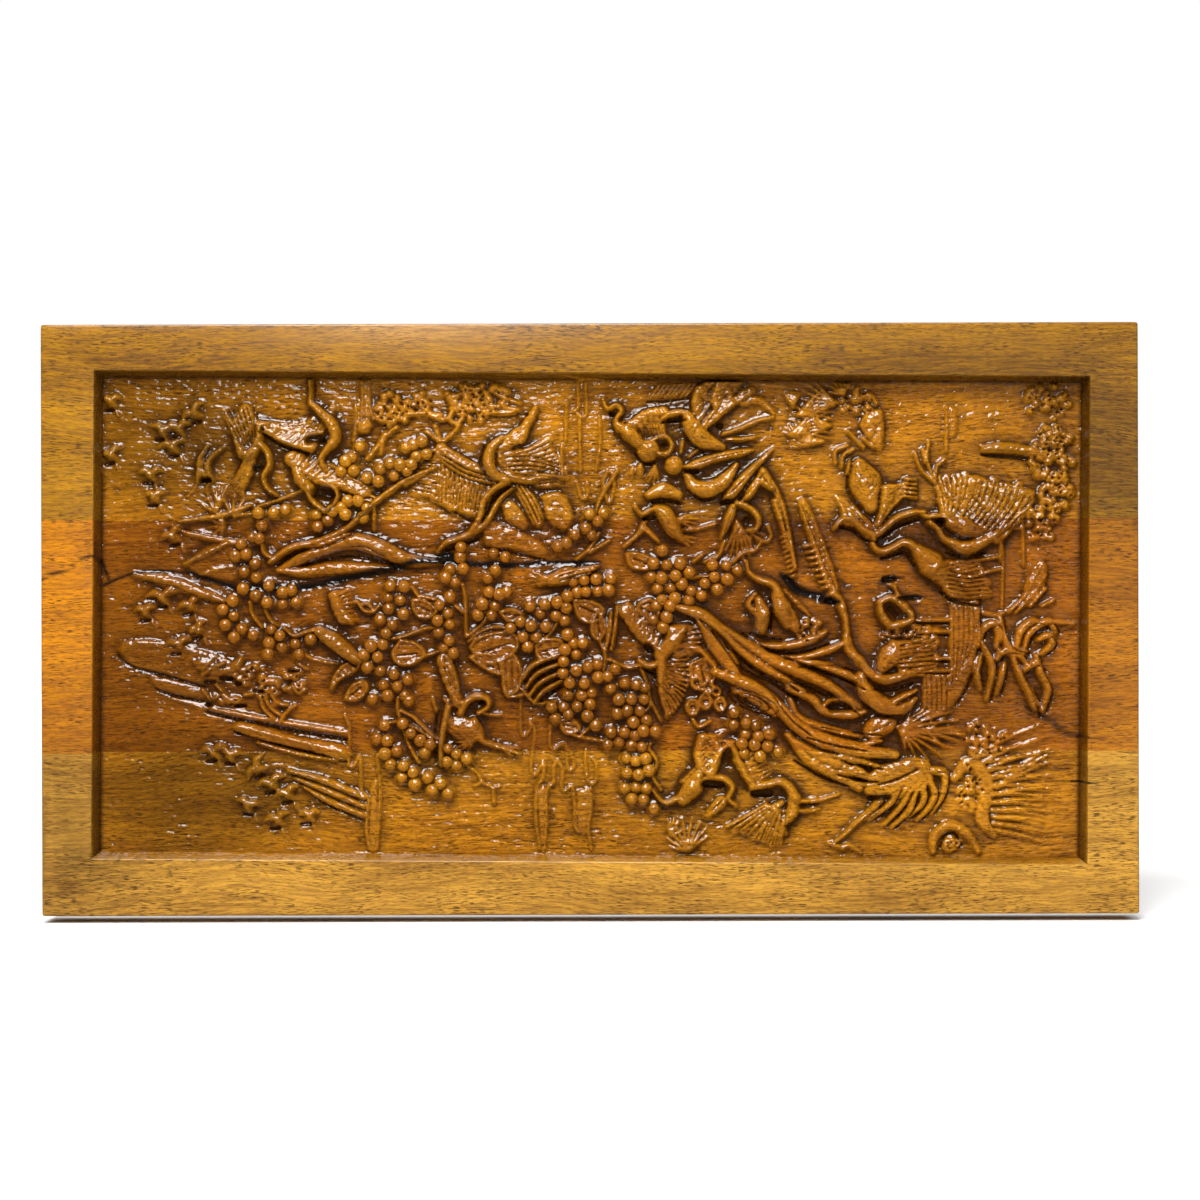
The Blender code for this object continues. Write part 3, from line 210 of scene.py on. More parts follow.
class Carving:
    # heights, stains and painted shade over the sheet, heights as shares of the relief's full height

    def __init__(self):
        halfWidth = sheet["width"] / 2
        halfHeight = sheet["height"] / 2
        self.step = sheet["step"]
        self.left = sheet["u"] - halfWidth
        self.top = sheet["v"] - halfHeight
        u = np.arange(self.left, sheet["u"] + halfWidth, self.step)
        v = np.arange(self.top, sheet["v"] + halfHeight, self.step)
        self.u, self.v = np.meshgrid(u, v)
        self.height = np.zeros(self.u.shape)
        self.cut = np.zeros(self.u.shape)
        self.rough = np.zeros(self.u.shape)
        self.resin = np.zeros(self.u.shape)
        self.stainAndShade = np.zeros(self.u.shape)
        self.berries = []

    def window(self, low, high, margin):
        firstRow = max(0, int((low[1] - margin - self.top) / self.step))
        lastRow = max(0, int((high[1] + margin - self.top) / self.step) + 2)
        firstColumn = max(0, int((low[0] - margin - self.left) / self.step))
        lastColumn = max(0, int((high[0] + margin - self.left) / self.step) + 2)
        return slice(firstRow, lastRow), slice(firstColumn, lastColumn)

    def across(self, a, b, reach):
        # share along a straight piece and distance from it, for the cells near it
        low = (min(a[0], b[0]), min(a[1], b[1]))
        high = (max(a[0], b[0]), max(a[1], b[1]))
        part = self.window(low, high, reach)
        u = self.u[part] - a[0]
        v = self.v[part] - a[1]
        run = (b[0] - a[0], b[1] - a[1])
        length = max(run[0] ** 2 + run[1] ** 2, 1e-9)
        share = np.clip((u * run[0] + v * run[1]) / length, 0, 1)
        away = np.hypot(u - share * run[0], v - share * run[1])
        return part, share, away

    def stretch(self, a, b, widthA, widthB, topA, topB, foot):
        part, share, away = self.across(a, b, max(widthA, widthB) / 2)
        radius = (widthA + (widthB - widthA) * share) / 2
        crown = topA + (topB - topA) * share
        rise = crown * (foot + (1 - foot) * np.sqrt(np.clip(1 - (away / radius) ** 2, 0, 1)))
        rise[away >= radius] = 0
        self.height[part] = np.maximum(self.height[part], rise)

    def ridge(self, points, widths, tops, foot=0.0):
        path = smoothPath(points)
        widths = along(widths, len(path))
        tops = along(tops, len(path))
        for i in range(len(path) - 1):
            self.stretch(path[i], path[i + 1], widths[i], widths[i + 1], tops[i], tops[i + 1], foot)

    def draw(self, field, points, widths, amounts):
        # a soft line drawn into one of the fields
        path = smoothPath(points)
        widths = along(widths, len(path))
        amounts = along(amounts, len(path))
        target = getattr(self, field)
        for i in range(len(path) - 1):
            part, share, away = self.across(path[i], path[i + 1], widths[i] + 1)
            radius = (widths[i] + (widths[i + 1] - widths[i]) * share) / 2
            amount = amounts[i] + (amounts[i + 1] - amounts[i]) * share
            line = amount * np.clip(1.5 - 1.5 * away / radius, 0, 1)
            target[part] = np.maximum(target[part], line)

    def groove(self, points, widths, depths):
        self.draw("cut", points, widths, depths)

    def dome(self, centre, width, top, foot=0.0):
        self.stretch(centre, centre, width, width, top, top, foot)

    def plate(self, corners, top, edge=4.0):
        # a flat raised patch with a rounded rim
        path = smoothPath(list(corners) + [corners[0]])
        us = np.array([p[0] for p in path])
        vs = np.array([p[1] for p in path])
        part = self.window((us.min(), vs.min()), (us.max(), vs.max()), edge)
        u = self.u[part]
        v = self.v[part]
        inside = np.zeros(u.shape, bool)
        away = np.full(u.shape, 1e9)
        for uA, vA, uB, vB in zip(us, vs, us[1:], vs[1:]):
            crosses = (vA > v) != (vB > v)
            inside ^= crosses & (u < (uB - uA) * (v - vA) / (vB - vA + 1e-9) + uA)
            length = max((uB - uA) ** 2 + (vB - vA) ** 2, 1e-9)
            share = np.clip(((u - uA) * (uB - uA) + (v - vA) * (vB - vA)) / length, 0, 1)
            gap = np.hypot(u - uA - share * (uB - uA), v - vA - share * (vB - vA))
            away = np.minimum(away, gap)
        rim = np.clip(away / edge, 0, 1)
        rise = np.where(inside, top * np.sqrt(rim * (2 - rim)), 0)
        self.height[part] = np.maximum(self.height[part], rise)

    def wing(self, arm, spread, reach, top=0.55, armWidth=6.0, pitch=4.0):
        # a soft fan of fine feathers that springs from the arm, a shorter row over it, then the arm
        roots = smoothPath(arm, 8)
        span = sum((b - a).length for a, b in zip(roots, roots[1:]))
        meanReach = (reach[0] + reach[-1]) / 2
        fan = abs(math.radians(spread[-1] - spread[0])) * meanReach
        count = max(5, int((span + fan) / pitch))
        place = random.Random(int(arm[0][0] * 7 + arm[0][1]))
        for share, number, lift in ((1.0, count, 1.0), (0.46, max(4, count * 2 // 3), 1.22)):
            picks = np.linspace(0, len(roots) - 1.001, number)
            turns = along(spread, number)
            reaches = along(reach, number)
            feathers = []
            for pick, turn, length in zip(picks, turns, reaches):
                root = roots[int(pick)].lerp(roots[int(pick) + 1], pick % 1)
                length *= share * place.uniform(0.9, 1.06)
                bend = root + heading(turn - 3, length * 0.55)
                feathers.append((root, bend, root + heading(turn + place.uniform(0, 5), length)))
            for k, feather in enumerate(feathers):
                other = feathers[k + 1] if k + 1 < number else feathers[k - 1]
                gaps = [(p - q).length for p, q in zip(feather, other)]
                widths = tuple(max(2.4, gap * grow) for gap, grow in zip(gaps, (1.9, 1.6, 1.2)))
                self.ridge(feather, widths, (top * lift, top * 0.8 * lift, top * 0.3 * lift), foot=0.6)
            for first, second in zip(feathers, feathers[1:]):
                line = [p.lerp(q, 0.5) for p, q in zip(first, second)]
                start = line[0].lerp(line[1], 0.3 if share < 1 else 0.6)
                self.groove((start, line[1], line[2]), (1.6, 2.0, 2.2), (0.04, 0.085, 0.1))
        self.ridge(arm, (armWidth, armWidth * 0.9, armWidth * 0.5), (top * 1.35, top * 1.1))
        rim = [root + heading(turn, length * 0.6) for root, turn, length in
               zip(roots[::4], along(spread, len(roots[::4])), along(reach, len(roots[::4])))]
        self.roughen(rim, 0.6)

    def roughen(self, points, amount):
        # where the lacquered surface is broken into small facets
        for p in points:
            part = self.window(p, p, 16)
            away = np.hypot(self.u[part] - p[0], self.v[part] - p[1]) / 16
            self.rough[part] = np.maximum(self.rough[part], amount * np.clip(1 - away, 0, 1))

    def strokes(self, root, turns, lengths, width, top):
        for turn, length in zip(turns, lengths):
            middle = Vector(root) + heading(turn + 4, length * 0.5)
            tip = Vector(root) + heading(turn, length)
            self.ridge((root, middle, tip), (width, width * 0.8, width * 0.4), (top, top * 0.9, top * 0.5))

    def tuft(self, centre, size, count, grain, top, seed):
        # nubbly leafage pricked with small dark holes
        place = random.Random(seed)
        for _ in range(count * 2):
            turn = place.uniform(0, math.tau)
            out = math.sqrt(place.random())
            spot = (
                centre[0] + math.cos(turn) * out * size[0] / 2,
                centre[1] + math.sin(turn) * out * size[1] / 2,
            )
            self.dome(spot, grain * place.uniform(0.5, 1.2), top * place.uniform(0.5, 1.0))
            if place.random() < 0.35:
                hole = (spot[0] + place.uniform(-4, 4), spot[1] + place.uniform(-4, 4))
                self.groove((hole, (hole[0] + place.uniform(-2, 2), hole[1] + 1)), 2.6, 0.22)

    def pit(self, centre, wide, turn, tall, depth):
        # a pocket cut under or beside a figure, darkened with painted shade
        half = heading(turn, max(wide - tall, 1) / 2)
        ends = (Vector(centre) - half, Vector(centre) + half)
        self.draw("cut", ends, tall, depth)
        self.draw("stainAndShade", ends, tall * 1.3, 0.85)

    def lines(self, paths, width, top):
        for path in paths:
            self.groove(path, 8, 0.06)
            self.ridge(path, width, top)

    def berry(self, spot):
        # one place for a berry, on a low bed with painted shade in the gap round it
        place = random.Random(int(spot[0] * 31 + spot[1]))
        size = berry["size"]
        self.dome(spot, size * berry["bedWidth"], berry["bedHeight"])
        self.draw("stainAndShade", (spot, spot), size * berry["gapWidth"], berry["gapPaintedShade"])
        shift = Vector((place.uniform(-1, 1), place.uniform(-1, 1))) * size * berry["scatter"]
        rise = place.uniform(*berry["rise"])
        self.berries.append((Vector(spot) + shift, size * place.uniform(*berry["spread"]), rise))


def carveLand(c):
    # low tongues of land on the left and the pointed planks below them
    c.plate(((114, 650), (122, 641), (150, 640), (200, 650), (238, 668), (204, 687), (160, 675), (128, 667)), 0.2, 5)
    c.groove(((114, 656), (124, 665), (142, 671), (165, 677), (203, 688)), (3, 4, 5, 4), 0.14)
    c.plate(((146, 676), (186, 684), (206, 692), (202, 700), (166, 694), (150, 686)), 0.17, 5)
    c.groove(((152, 689), (166, 695), (202, 703)), (3, 4, 3), 0.14)
    c.ridge(((168, 700), (186, 704), (202, 710)), 3, 0.12)
    c.ridge(((130, 574), (160, 580), (190, 590), (222, 601)), (6, 13, 13, 6), 0.3)
    c.groove(((140, 581), (172, 587), (206, 603)), 2.4, 0.1)
    c.ridge(((204, 708), (250, 718), (345, 734)), (3, 5, 5), 0.26)
    c.groove(((204, 713), (250, 724), (345, 741)), 4, 0.22)
    c.plate(((228, 729), (243, 722), (290, 736), (345, 747), (345, 760), (300, 751), (250, 740)), 0.42, 6)
    c.ridge(((236, 727), (280, 738), (345, 754)), (3, 6, 6), 0.56)
    c.groove(((232, 733), (262, 742), (300, 752), (345, 763)), 3, 0.2)
    c.ridge(((256, 744), (284, 752), (312, 758), (342, 761)), 4, 0.34)
    steps = ((8, 8), (0, 9), (0, 9))
    for line in drifting(3, ((286, 772), (322, 782), (363, 799)), steps):
        c.ridge(line, (3, 8, 6), 0.36)
    for line in drifting(3, ((290, 777), (324, 788), (360, 804)), steps):
        c.groove(line, 2.4, 0.14)
    c.plate(((176, 529), (200, 531), (246, 541), (244, 548), (200, 540), (182, 534)), 0.22, 4)
    c.groove(((176, 527), (200, 533), (240, 539)), 2.6, 0.16)
    c.ridge(((176, 521), (205, 517), (222, 514), (247, 505)), (3, 5, 6, 3), 0.4)
    c.plate(((180, 563), (205, 545), (228, 544), (236, 566), (230, 580), (196, 574)), 0.2, 5)
    c.ridge(((182, 564), (204, 553), (225, 543)), (4, 8, 5), 0.46)
    c.ridge(((196, 576), (212, 570), (232, 566)), (3, 6, 4), 0.3)
    c.plate(((984, 444), (1006, 441), (1040, 446), (1060, 452), (1056, 460), (1018, 452), (988, 452)), 0.36, 6)
    c.groove(((986, 453), (1008, 455), (1034, 458), (1052, 464)), (4, 7, 5), 0.22)
    c.plate(((1000, 402), (1024, 402), (1034, 424), (1020, 436), (998, 430)), 0.06, 8)


def carveSmallBirds(c):
    # distant birds on the left: a hump with ragged wings over a hollow darkened with painted shade
    birds = (
        ((108, 400), 8, 22, -6), ((192, 412), 40, 28, 4), ((176, 428), 10, 30, -8), ((160, 430), -10, 26, -8),
        ((170, 446), 15, 30, 2), ((108, 454), 24, 24, -6), ((148, 474), 4, 26, -8), ((152, 496), 5, 20, -6),
        ((160, 598), 8, 34, -2), ((188, 606), 26, 26, -8), ((176, 646), 12, 28, -6), ((196, 630), 40, 20, -4),
        ((212, 754), 12, 30, -8), ((228, 757), -8, 26, -2), ((256, 770), 60, 30, 4), ((270, 786), 20, 30, -5),
        ((246, 808), -14, 26, -2), ((276, 822), 20, 26, -8), ((308, 818), 8, 22, -10), ((286, 796), 24, 26, -2),
        ((170, 536), 32, 26, 4), ((142, 612), 12, 22, 0),
    )
    for place, turn, span, hollow in birds:
        body = Vector(place)
        for side in (-1, 1):
            tip = body + heading(turn + 90 - side * 84, span * 0.56)
            elbow = body + heading(turn + 90 - side * 52, span * 0.3)
            c.ridge((body, elbow, tip), (10, 8, 2), (0.42, 0.36, 0.08))
            c.groove((body + heading(turn + 90 - side * 90, span * 0.1), tip), (2, 1.4), 0.09)
        c.ridge((body, body + heading(turn - 60, span * 0.26)), (9, 5), (0.44, 0.2))
        pit = body + Vector((hollow * 0.4, 8.5))
        c.pit(pit, 12, turn * 0.4, 4.2, 0.18)
        c.ridge((pit + Vector((7, 1)), pit + Vector((10, 7))), 2.4, 0.16)
        c.roughen((place,), 0.9)
    # a taller bird with lifted wings
    c.ridge(((205, 445), (198, 458), (197, 472), (195, 480)), (3, 7, 8, 3), 0.5)
    c.ridge(((222, 446), (208, 457), (206, 470), (211, 480)), (3, 6, 7, 3), 0.46)
    c.ridge(((201, 462), (202, 474)), (8, 6), 0.5)
    c.groove(((213, 452), (203, 460), (202, 470)), 2, 0.16)
    c.pit((204, 479), 13, 0, 6, 0.4)
    c.lines((((197, 478), (190, 490), (184, 496)), ((210, 479), (204, 486), (205, 494))), 3, 0.2)


def carveClouds(c):
    # trickling cloud edges: thin raised lines that run down and turn round at the end
    for line in (
        ((360, 378), (361, 398), (360, 418)), ((368, 378), (368, 400), (372, 418)),
        ((354, 402), (355, 418), (352, 440)), ((578, 380), (579, 404), (573, 410)),
        ((586, 380), (587, 410), (583, 415), (578, 412)), ((567, 400), (566, 440)), ((580, 415), (581, 470)),
        ((577, 480), (582, 497), (588, 494), (588, 482)), ((562, 446), (563, 482)),
        ((600, 415), (601, 440), (597, 470)), ((608, 470), (604, 484), (610, 502), (615, 484), (612, 470)),
        ((343, 716), (348, 730), (347, 764), (352, 768), (359, 758), (360, 792), (367, 800), (365, 830), (368, 852)),
        ((376, 756), (378, 776), (379, 800), (376, 852)), ((521, 698), (521, 732), (525, 737), (530, 730), (530, 722)),
        ((530, 722), (535, 732), (533, 752), (531, 770), (535, 777), (541, 768), (543, 764)),
        ((551, 720), (550, 746), (555, 751), (561, 746), (567, 748), (568, 768), (571, 772), (575, 766), (570, 752)),
        ((545, 766), (543, 780), (537, 790), (536, 820), (540, 852)), ((549, 788), (546, 800), (547, 820), (545, 852)),
        ((558, 762), (554, 768), (554, 784), (548, 788)), ((558, 762), (563, 772), (562, 790), (566, 793), (570, 788)),
        ((573, 788), (575, 806), (576, 830), (580, 834)), ((591, 790), (592, 810), (589, 830), (592, 852)),
        ((586, 752), (587, 776), (590, 784), (597, 782), (597, 766), (593, 760)), ((593, 786), (597, 782)),
        ((950, 405), (950, 450)), ((1005, 531), (1007, 560), (1006, 608)), ((1026, 505), (1027, 530), (1028, 566)),
        ((1008, 528), (1025, 527)),
    ):
        c.groove(line, 7.5, 0.09)
        c.ridge(line, 3.6, 0.3)
    c.plate(((357, 420), (366, 418), (371, 424), (366, 432), (356, 430)), 0.42, 4)
    for patch in (
        ((352, 403), (360, 400), (360, 420), (352, 440)), ((362, 380), (368, 380), (370, 420), (362, 420)),
        ((368, 792), (376, 784), (376, 850), (368, 850)), ((537, 794), (546, 790), (546, 850), (541, 850)),
        ((577, 792), (591, 792), (590, 832), (578, 832)), ((952, 405), (960, 408), (960, 432), (952, 432)),
    ):
        c.plate(patch, 0.15, 3)


def carvePines(c):
    # pine crowns pricked with holes, boughs and needles
    for crown in (
        ((392, 408), (36, 34), 26, 8, 0.42, 3), ((418, 402), (22, 24), 9, 7, 0.38, 13),
        ((462, 398), (34, 30), 18, 8, 0.42, 4), ((488, 396), (44, 28), 20, 8, 0.44, 14),
        ((474, 414), (26, 16), 9, 7, 0.4, 24), ((858, 398), (46, 30), 16, 7, 0.3, 5),
        ((1052, 400), (46, 40), 18, 8, 0.32, 26), ((1056, 452), (44, 60), 34, 9, 0.42, 6),
        ((1060, 492), (34, 34), 18, 9, 0.44, 16), ((1046, 520), (32, 46), 20, 8, 0.4, 7),
        ((990, 742), (46, 40), 22, 7, 0.3, 8), ((972, 786), (22, 60), 20, 7, 0.26, 9),
    ):
        c.tuft(*crown)
    c.lines((
        ((420, 403), (430, 412), (440, 414)), ((404, 414), (424, 412), (440, 418), (450, 416)),
        ((496, 392), (508, 398), (520, 402)), ((470, 408), (490, 411), (514, 411)),
        ((486, 403), (504, 406), (518, 408)),
        ((456, 400), (449, 418), (458, 424), (450, 434), (440, 440), (426, 430)), ((440, 440), (434, 424)),
        ((384, 432), (376, 446), (366, 458)), ((396, 426), (384, 436), (380, 452)), ((456, 424), (462, 416)),
    ), 5, 0.38)
    # clumps of needles, nearly level
    for root, first, last, length in (
        ((794, 432), -8, 40, 42), ((800, 414), -4, 46, 36), ((832, 424), 150, 205, 40), ((838, 402), 130, 200, 34),
        ((800, 436), 60, 160, 16), ((826, 440), 160, 190, 34), ((846, 392), 60, 170, 16), ((795, 405), 60, 120, 16),
    ):
        c.strokes(root, along((float(first), float(last)), 6), [length] * 6, 3.4, 0.36)
    c.strokes((903, 732), (58, 44, 32, 20, 10, 0, -10, -20, -32, -46, -60, -76),
              (24, 34, 46, 56, 60, 62, 60, 56, 50, 42, 34, 26), 4.2, 0.46)
    c.strokes((930, 734), (70, 40, 12, -14, -40), (18, 26, 32, 30, 22), 3.4, 0.4)
    c.lines((((900, 730), (930, 732), (968, 736)), ((900, 728), (912, 720), (926, 712))), 3.4, 0.4)
    for root, turns, length in (
        ((222, 524), (100, 130, 160, 190, 220, 250), 16), ((232, 516), (10, 35, 60, 90, 120), 22),
        ((214, 512), (60, 90, 120, 150), 18), ((217, 505), (70, 90, 110), 20),
    ):
        c.strokes(root, turns, [length] * len(turns), 3.6, 0.3)
    c.strokes((690, 853), (168, 150, 132, 116, 100, 84, 68, 52, 36), (20, 26, 32, 34, 34, 34, 32, 30, 24), 4, 0.34)
    c.strokes((672, 838), (60, 80, 100, 20), (20, 20, 16, 24), 3, 0.3)
    c.lines((((466, 766), (478, 776), (482, 784), (492, 790), (494, 806)), ((482, 783), (474, 788)),
             ((492, 790), (500, 788))), 3.4, 0.3)


def carveRocks(c):
    # waterfall folds, the feathery ridge below them and the half dome at the border
    for fold in (
        ((982, 646), (986, 630), (998, 624), (1002, 634), (1000, 648)),
        ((984, 642), (992, 656), (996, 672), (990, 700)),
        ((1004, 618), (1006, 634), (1014, 648), (1030, 652)), ((1020, 652), (1024, 632), (1036, 622), (1048, 626)),
        ((1028, 648), (1034, 632), (1052, 622), (1060, 632)), ((1042, 640), (1052, 636), (1056, 644), (1046, 654)),
        ((1040, 656), (1044, 672), (1052, 690), (1046, 712)), ((1016, 656), (1024, 676), (1034, 696), (1040, 716)),
        ((1000, 660), (1006, 652), (1022, 654), (1030, 664)), ((1008, 664), (1004, 680), (1000, 694)),
        ((984, 656), (980, 672), (984, 690)), ((1026, 672), (1038, 664), (1046, 670)), ((1034, 690), (1042, 706)),
    ):
        c.ridge(fold, (5, 9, 9, 5), (0.34, 0.44, 0.4, 0.3))
        c.groove([(u + 5, v + 2) for u, v in fold], (1.6, 2.8, 2.6), 0.14)
    c.plate(((1008, 616), (1024, 606), (1030, 580), (1046, 560), (1052, 572), (1044, 596), (1024, 610)), 0.3, 6)
    c.lines((((1012, 612), (1028, 596), (1044, 566)), ((1020, 612), (1038, 592), (1050, 574)),
             ((1046, 606), (1058, 600)), ((1034, 606), (1050, 588))), 4, 0.42)
    c.ridge(((984, 612), (1000, 616), (1008, 612)), (4, 7, 3), 0.2)
    c.ridge(((1046, 622), (1062, 622), (1078, 624)), (5, 6, 5), 0.22)
    spine = smoothPath(((972, 762), (984, 786), (996, 812), (998, 836)), 7)
    c.ridge(((958, 780), (970, 766), (984, 770), (990, 790), (986, 820), (998, 838)), (8, 14, 16, 16, 14, 6), 0.26)
    for i, root in enumerate(spine[::2]):
        c.strokes(root, (26 - 4 * i, 14 - 3 * i), (84 - 3 * i, 72 - 3 * i), 4.4, 0.24)
    c.strokes((1000, 790), (38, 32, 26), (60, 70, 60), 4, 0.24)
    c.ridge(((936, 854), (938, 838), (954, 827), (972, 838), (982, 854)), (7, 10, 10, 10, 7), 0.3)
    c.groove(((944, 850), (948, 838), (958, 836), (966, 848)), 3, 0.2)
    c.dome((952, 848), 16, 0.3)
    c.tuft((954, 846), (18, 14), 6, 5, 0.3, 31)
    c.plate(((953, 600), (983, 600), (981, 646), (972, 680), (960, 702), (953, 692)), 0.24, 3)
    c.plate(((925, 673), (952, 673), (958, 704), (934, 720), (926, 716)), 0.22, 3)
    for line in (*drifting(5, ((957, 602), (957, 640), (956, 684)), ((5, 0), (5, 0), (3, -5))),
                 *drifting(5, ((929, 675), (930, 690), (930, 712)), ((5, 0), (5, 0), (5, 0)))):
        c.groove(line, 1.8, 0.09)
    c.groove(((984, 598), (984, 646), (974, 682), (960, 706)), 3, 0.14)
    c.plate(((984, 538), (1004, 532), (1004, 556), (986, 560)), 0.1, 4)
    c.plate(((1029, 548), (1052, 548), (1046, 566), (1030, 590)), 0.1, 4)


def carveTrunks(c):
    # the twisted bough on the left
    c.ridge(((440, 562), (408, 560), (380, 548), (350, 540), (320, 548), (296, 560), (276, 570)),
            (6, 14, 18, 18, 16, 12, 5), (0.4, 0.62, 0.68, 0.66, 0.6, 0.5, 0.3))
    c.ridge(((276, 570), (300, 572), (330, 568), (360, 568), (392, 568)), (5, 11, 14, 12, 5), 0.44)
    c.ridge(((268, 562), (288, 548), (316, 541), (342, 530), (362, 514), (376, 500), (404, 480), (436, 466)),
            (5, 8, 7, 7, 7, 6, 5, 3), 0.6)
    c.groove(((276, 564), (296, 552), (324, 546), (352, 534)), (3, 5, 4), 0.24)
    c.groove(((300, 566), (330, 558), (356, 556), (392, 564)), (2, 4, 4), 0.22)
    c.groove(((340, 548), (362, 546), (384, 556)), (2, 3, 2), 0.16)
    c.ridge(((256, 520), (260, 540), (262, 552), (270, 558)), (4, 5, 5, 4), 0.4)
    c.lines((((360, 500), (372, 502), (373, 530)), ((345, 480), (372, 496), (384, 496), (404, 480))), 4, 0.4)
    # the trunk that spreads into roots: long flowing ridges with deep cuts between them
    for strand, widths, tops in (
        (((678, 607), (700, 614), (718, 628), (734, 644), (752, 658), (776, 674), (806, 692)),
         (8, 14, 15, 13, 12, 11, 6), (0.7, 0.85, 0.9, 0.85, 0.8, 0.7, 0.5)),
        (((700, 622), (716, 644), (730, 662), (738, 678)), (6, 18, 22, 12), (0.6, 0.75, 0.75, 0.7)),
        (((722, 626), (744, 642), (772, 660), (800, 672), (830, 686), (862, 708)),
         (6, 10, 14, 14, 11, 6), (0.8, 0.85, 0.8, 0.75, 0.65, 0.5)),
        (((716, 672), (738, 680), (762, 692), (780, 708), (798, 726), (826, 742), (860, 751), (898, 756)),
         (10, 14, 13, 13, 15, 18, 17, 10), (0.85, 0.95, 1, 1, 0.95, 0.9, 0.85, 0.75)),
        (((736, 690), (754, 696), (768, 706), (776, 716)), (8, 14, 14, 6), (0.5, 0.6, 0.6, 0.5)),
        (((790, 690), (814, 700), (826, 712), (852, 716), (868, 712)), (5, 10, 9, 9, 5), 0.6),
        (((792, 700), (800, 718), (824, 728), (864, 738)), (6, 9, 8, 4), 0.55),
        (((796, 742), (820, 756), (846, 768), (870, 778)), (8, 13, 14, 8), 0.6),
        (((790, 736), (812, 760), (840, 776), (862, 790)), (8, 14, 14, 8), 0.5),
        (((790, 662), (816, 664), (846, 674), (866, 684)), (4, 9, 10, 5), 0.6),
        (((768, 654), (800, 658), (832, 650), (852, 640)), (3, 7, 8, 5), 0.55),
        (((750, 640), (766, 646), (790, 646), (812, 640), (828, 632)), (3, 6, 8, 10, 5), 0.5),
        (((812, 752), (842, 758), (868, 764), (884, 772)), (5, 7, 7, 5), 0.62),
        (((834, 772), (862, 776), (892, 779)), (4, 6, 4), 0.56),
        (((846, 782), (868, 786), (884, 790)), (4, 6, 4), 0.5),
    ):
        c.ridge(strand, widths, tops)
    for cut in (
        ((700, 619), (722, 636), (742, 658), (770, 680), (800, 702)), ((712, 630), (728, 652), (742, 672)),
        ((744, 634), (770, 650), (800, 663), (838, 676), (866, 690)), ((736, 664), (760, 678), (788, 684), (800, 692)),
        ((754, 668), (780, 680), (804, 686), (836, 700)), ((808, 738), (836, 746), (868, 752)),
        ((824, 728), (850, 734), (884, 736)), ((796, 762), (824, 778), (852, 788)),
        ((830, 694), (846, 704), (862, 716)), ((770, 652), (800, 654), (830, 645)),
        ((800, 668), (830, 666), (858, 672)), ((848, 764), (868, 768), (884, 770)),
        ((840, 776), (862, 782), (880, 783)), ((776, 698), (792, 720), (812, 736)),
        ((730, 650), (724, 640), (714, 630)),
    ):
        c.groove(cut, (2, 4, 4, 2.4), 0.24)
    for size in (1, 0.66, 0.34):
        ring = [Vector((755, 703)) + Vector((25 * size * math.cos(t), 10 * size * math.sin(t) + 9 * size * math.cos(t)))
                for t in (0, 0.8, 1.6, 2.4, 3.2, 4, 4.8, 5.6, 6.28)]
        c.groove(ring, 2.4, 0.16)
    for tip in ((884, 742), (890, 770), (884, 790)):
        c.ridge(((846, 756), (866, 752 + (tip[1] - 752) * 0.6), tip), (10, 8, 4), 0.6)
    c.plate(((866, 782), (880, 766), (912, 758), (932, 762), (936, 780), (924, 796), (890, 802), (868, 796)), 0.6, 11)
    c.groove(((880, 786), (900, 780), (920, 770)), (2, 4, 3), 0.2)
    c.pit((882, 799), 24, 4, 7, 0.3)
    for root in (
        ((900, 790), (892, 806), (872, 822)), ((912, 792), (904, 808), (886, 828)),
        ((918, 792), (912, 812), (894, 830)), ((926, 786), (926, 804), (910, 820)),
        ((932, 780), (938, 796), (930, 812), (920, 822)), ((936, 772), (948, 776), (946, 796), (934, 816)),
        ((884, 800), (876, 810), (862, 820)),
    ):
        c.ridge(root, (10, 8, 3), (0.55, 0.42, 0.2))
        c.groove([(u + 4, v + 1) for u, v in root], (2.6, 2.4, 1.6), 0.16)
    c.ridge(((900, 803), (882, 812), (862, 822), (850, 834), (838, 844)), (4, 5, 6, 5, 3), 0.36)
    c.ridge(((832, 846), (844, 850), (852, 848), (864, 856)), (4, 7, 6, 3), 0.26)
    c.plate(((864, 736), (870, 722), (884, 716), (900, 720), (896, 732), (876, 742)), 0.55, 8)
    c.groove(((866, 734), (880, 730), (896, 722)), 2, 0.12)
    c.pit((840, 709), 22, 8, 10, 0.34)
    c.ridge(((826, 706), (836, 700), (852, 704), (856, 712), (842, 717), (828, 713), (826, 706)), 4, 0.5)
    c.ridge(((848, 616), (850, 640), (856, 656), (868, 672)), (6, 8, 10, 9), 0.5)
    c.ridge(((824, 600), (836, 594), (844, 604), (848, 622)), (4, 7, 8, 6), 0.5)


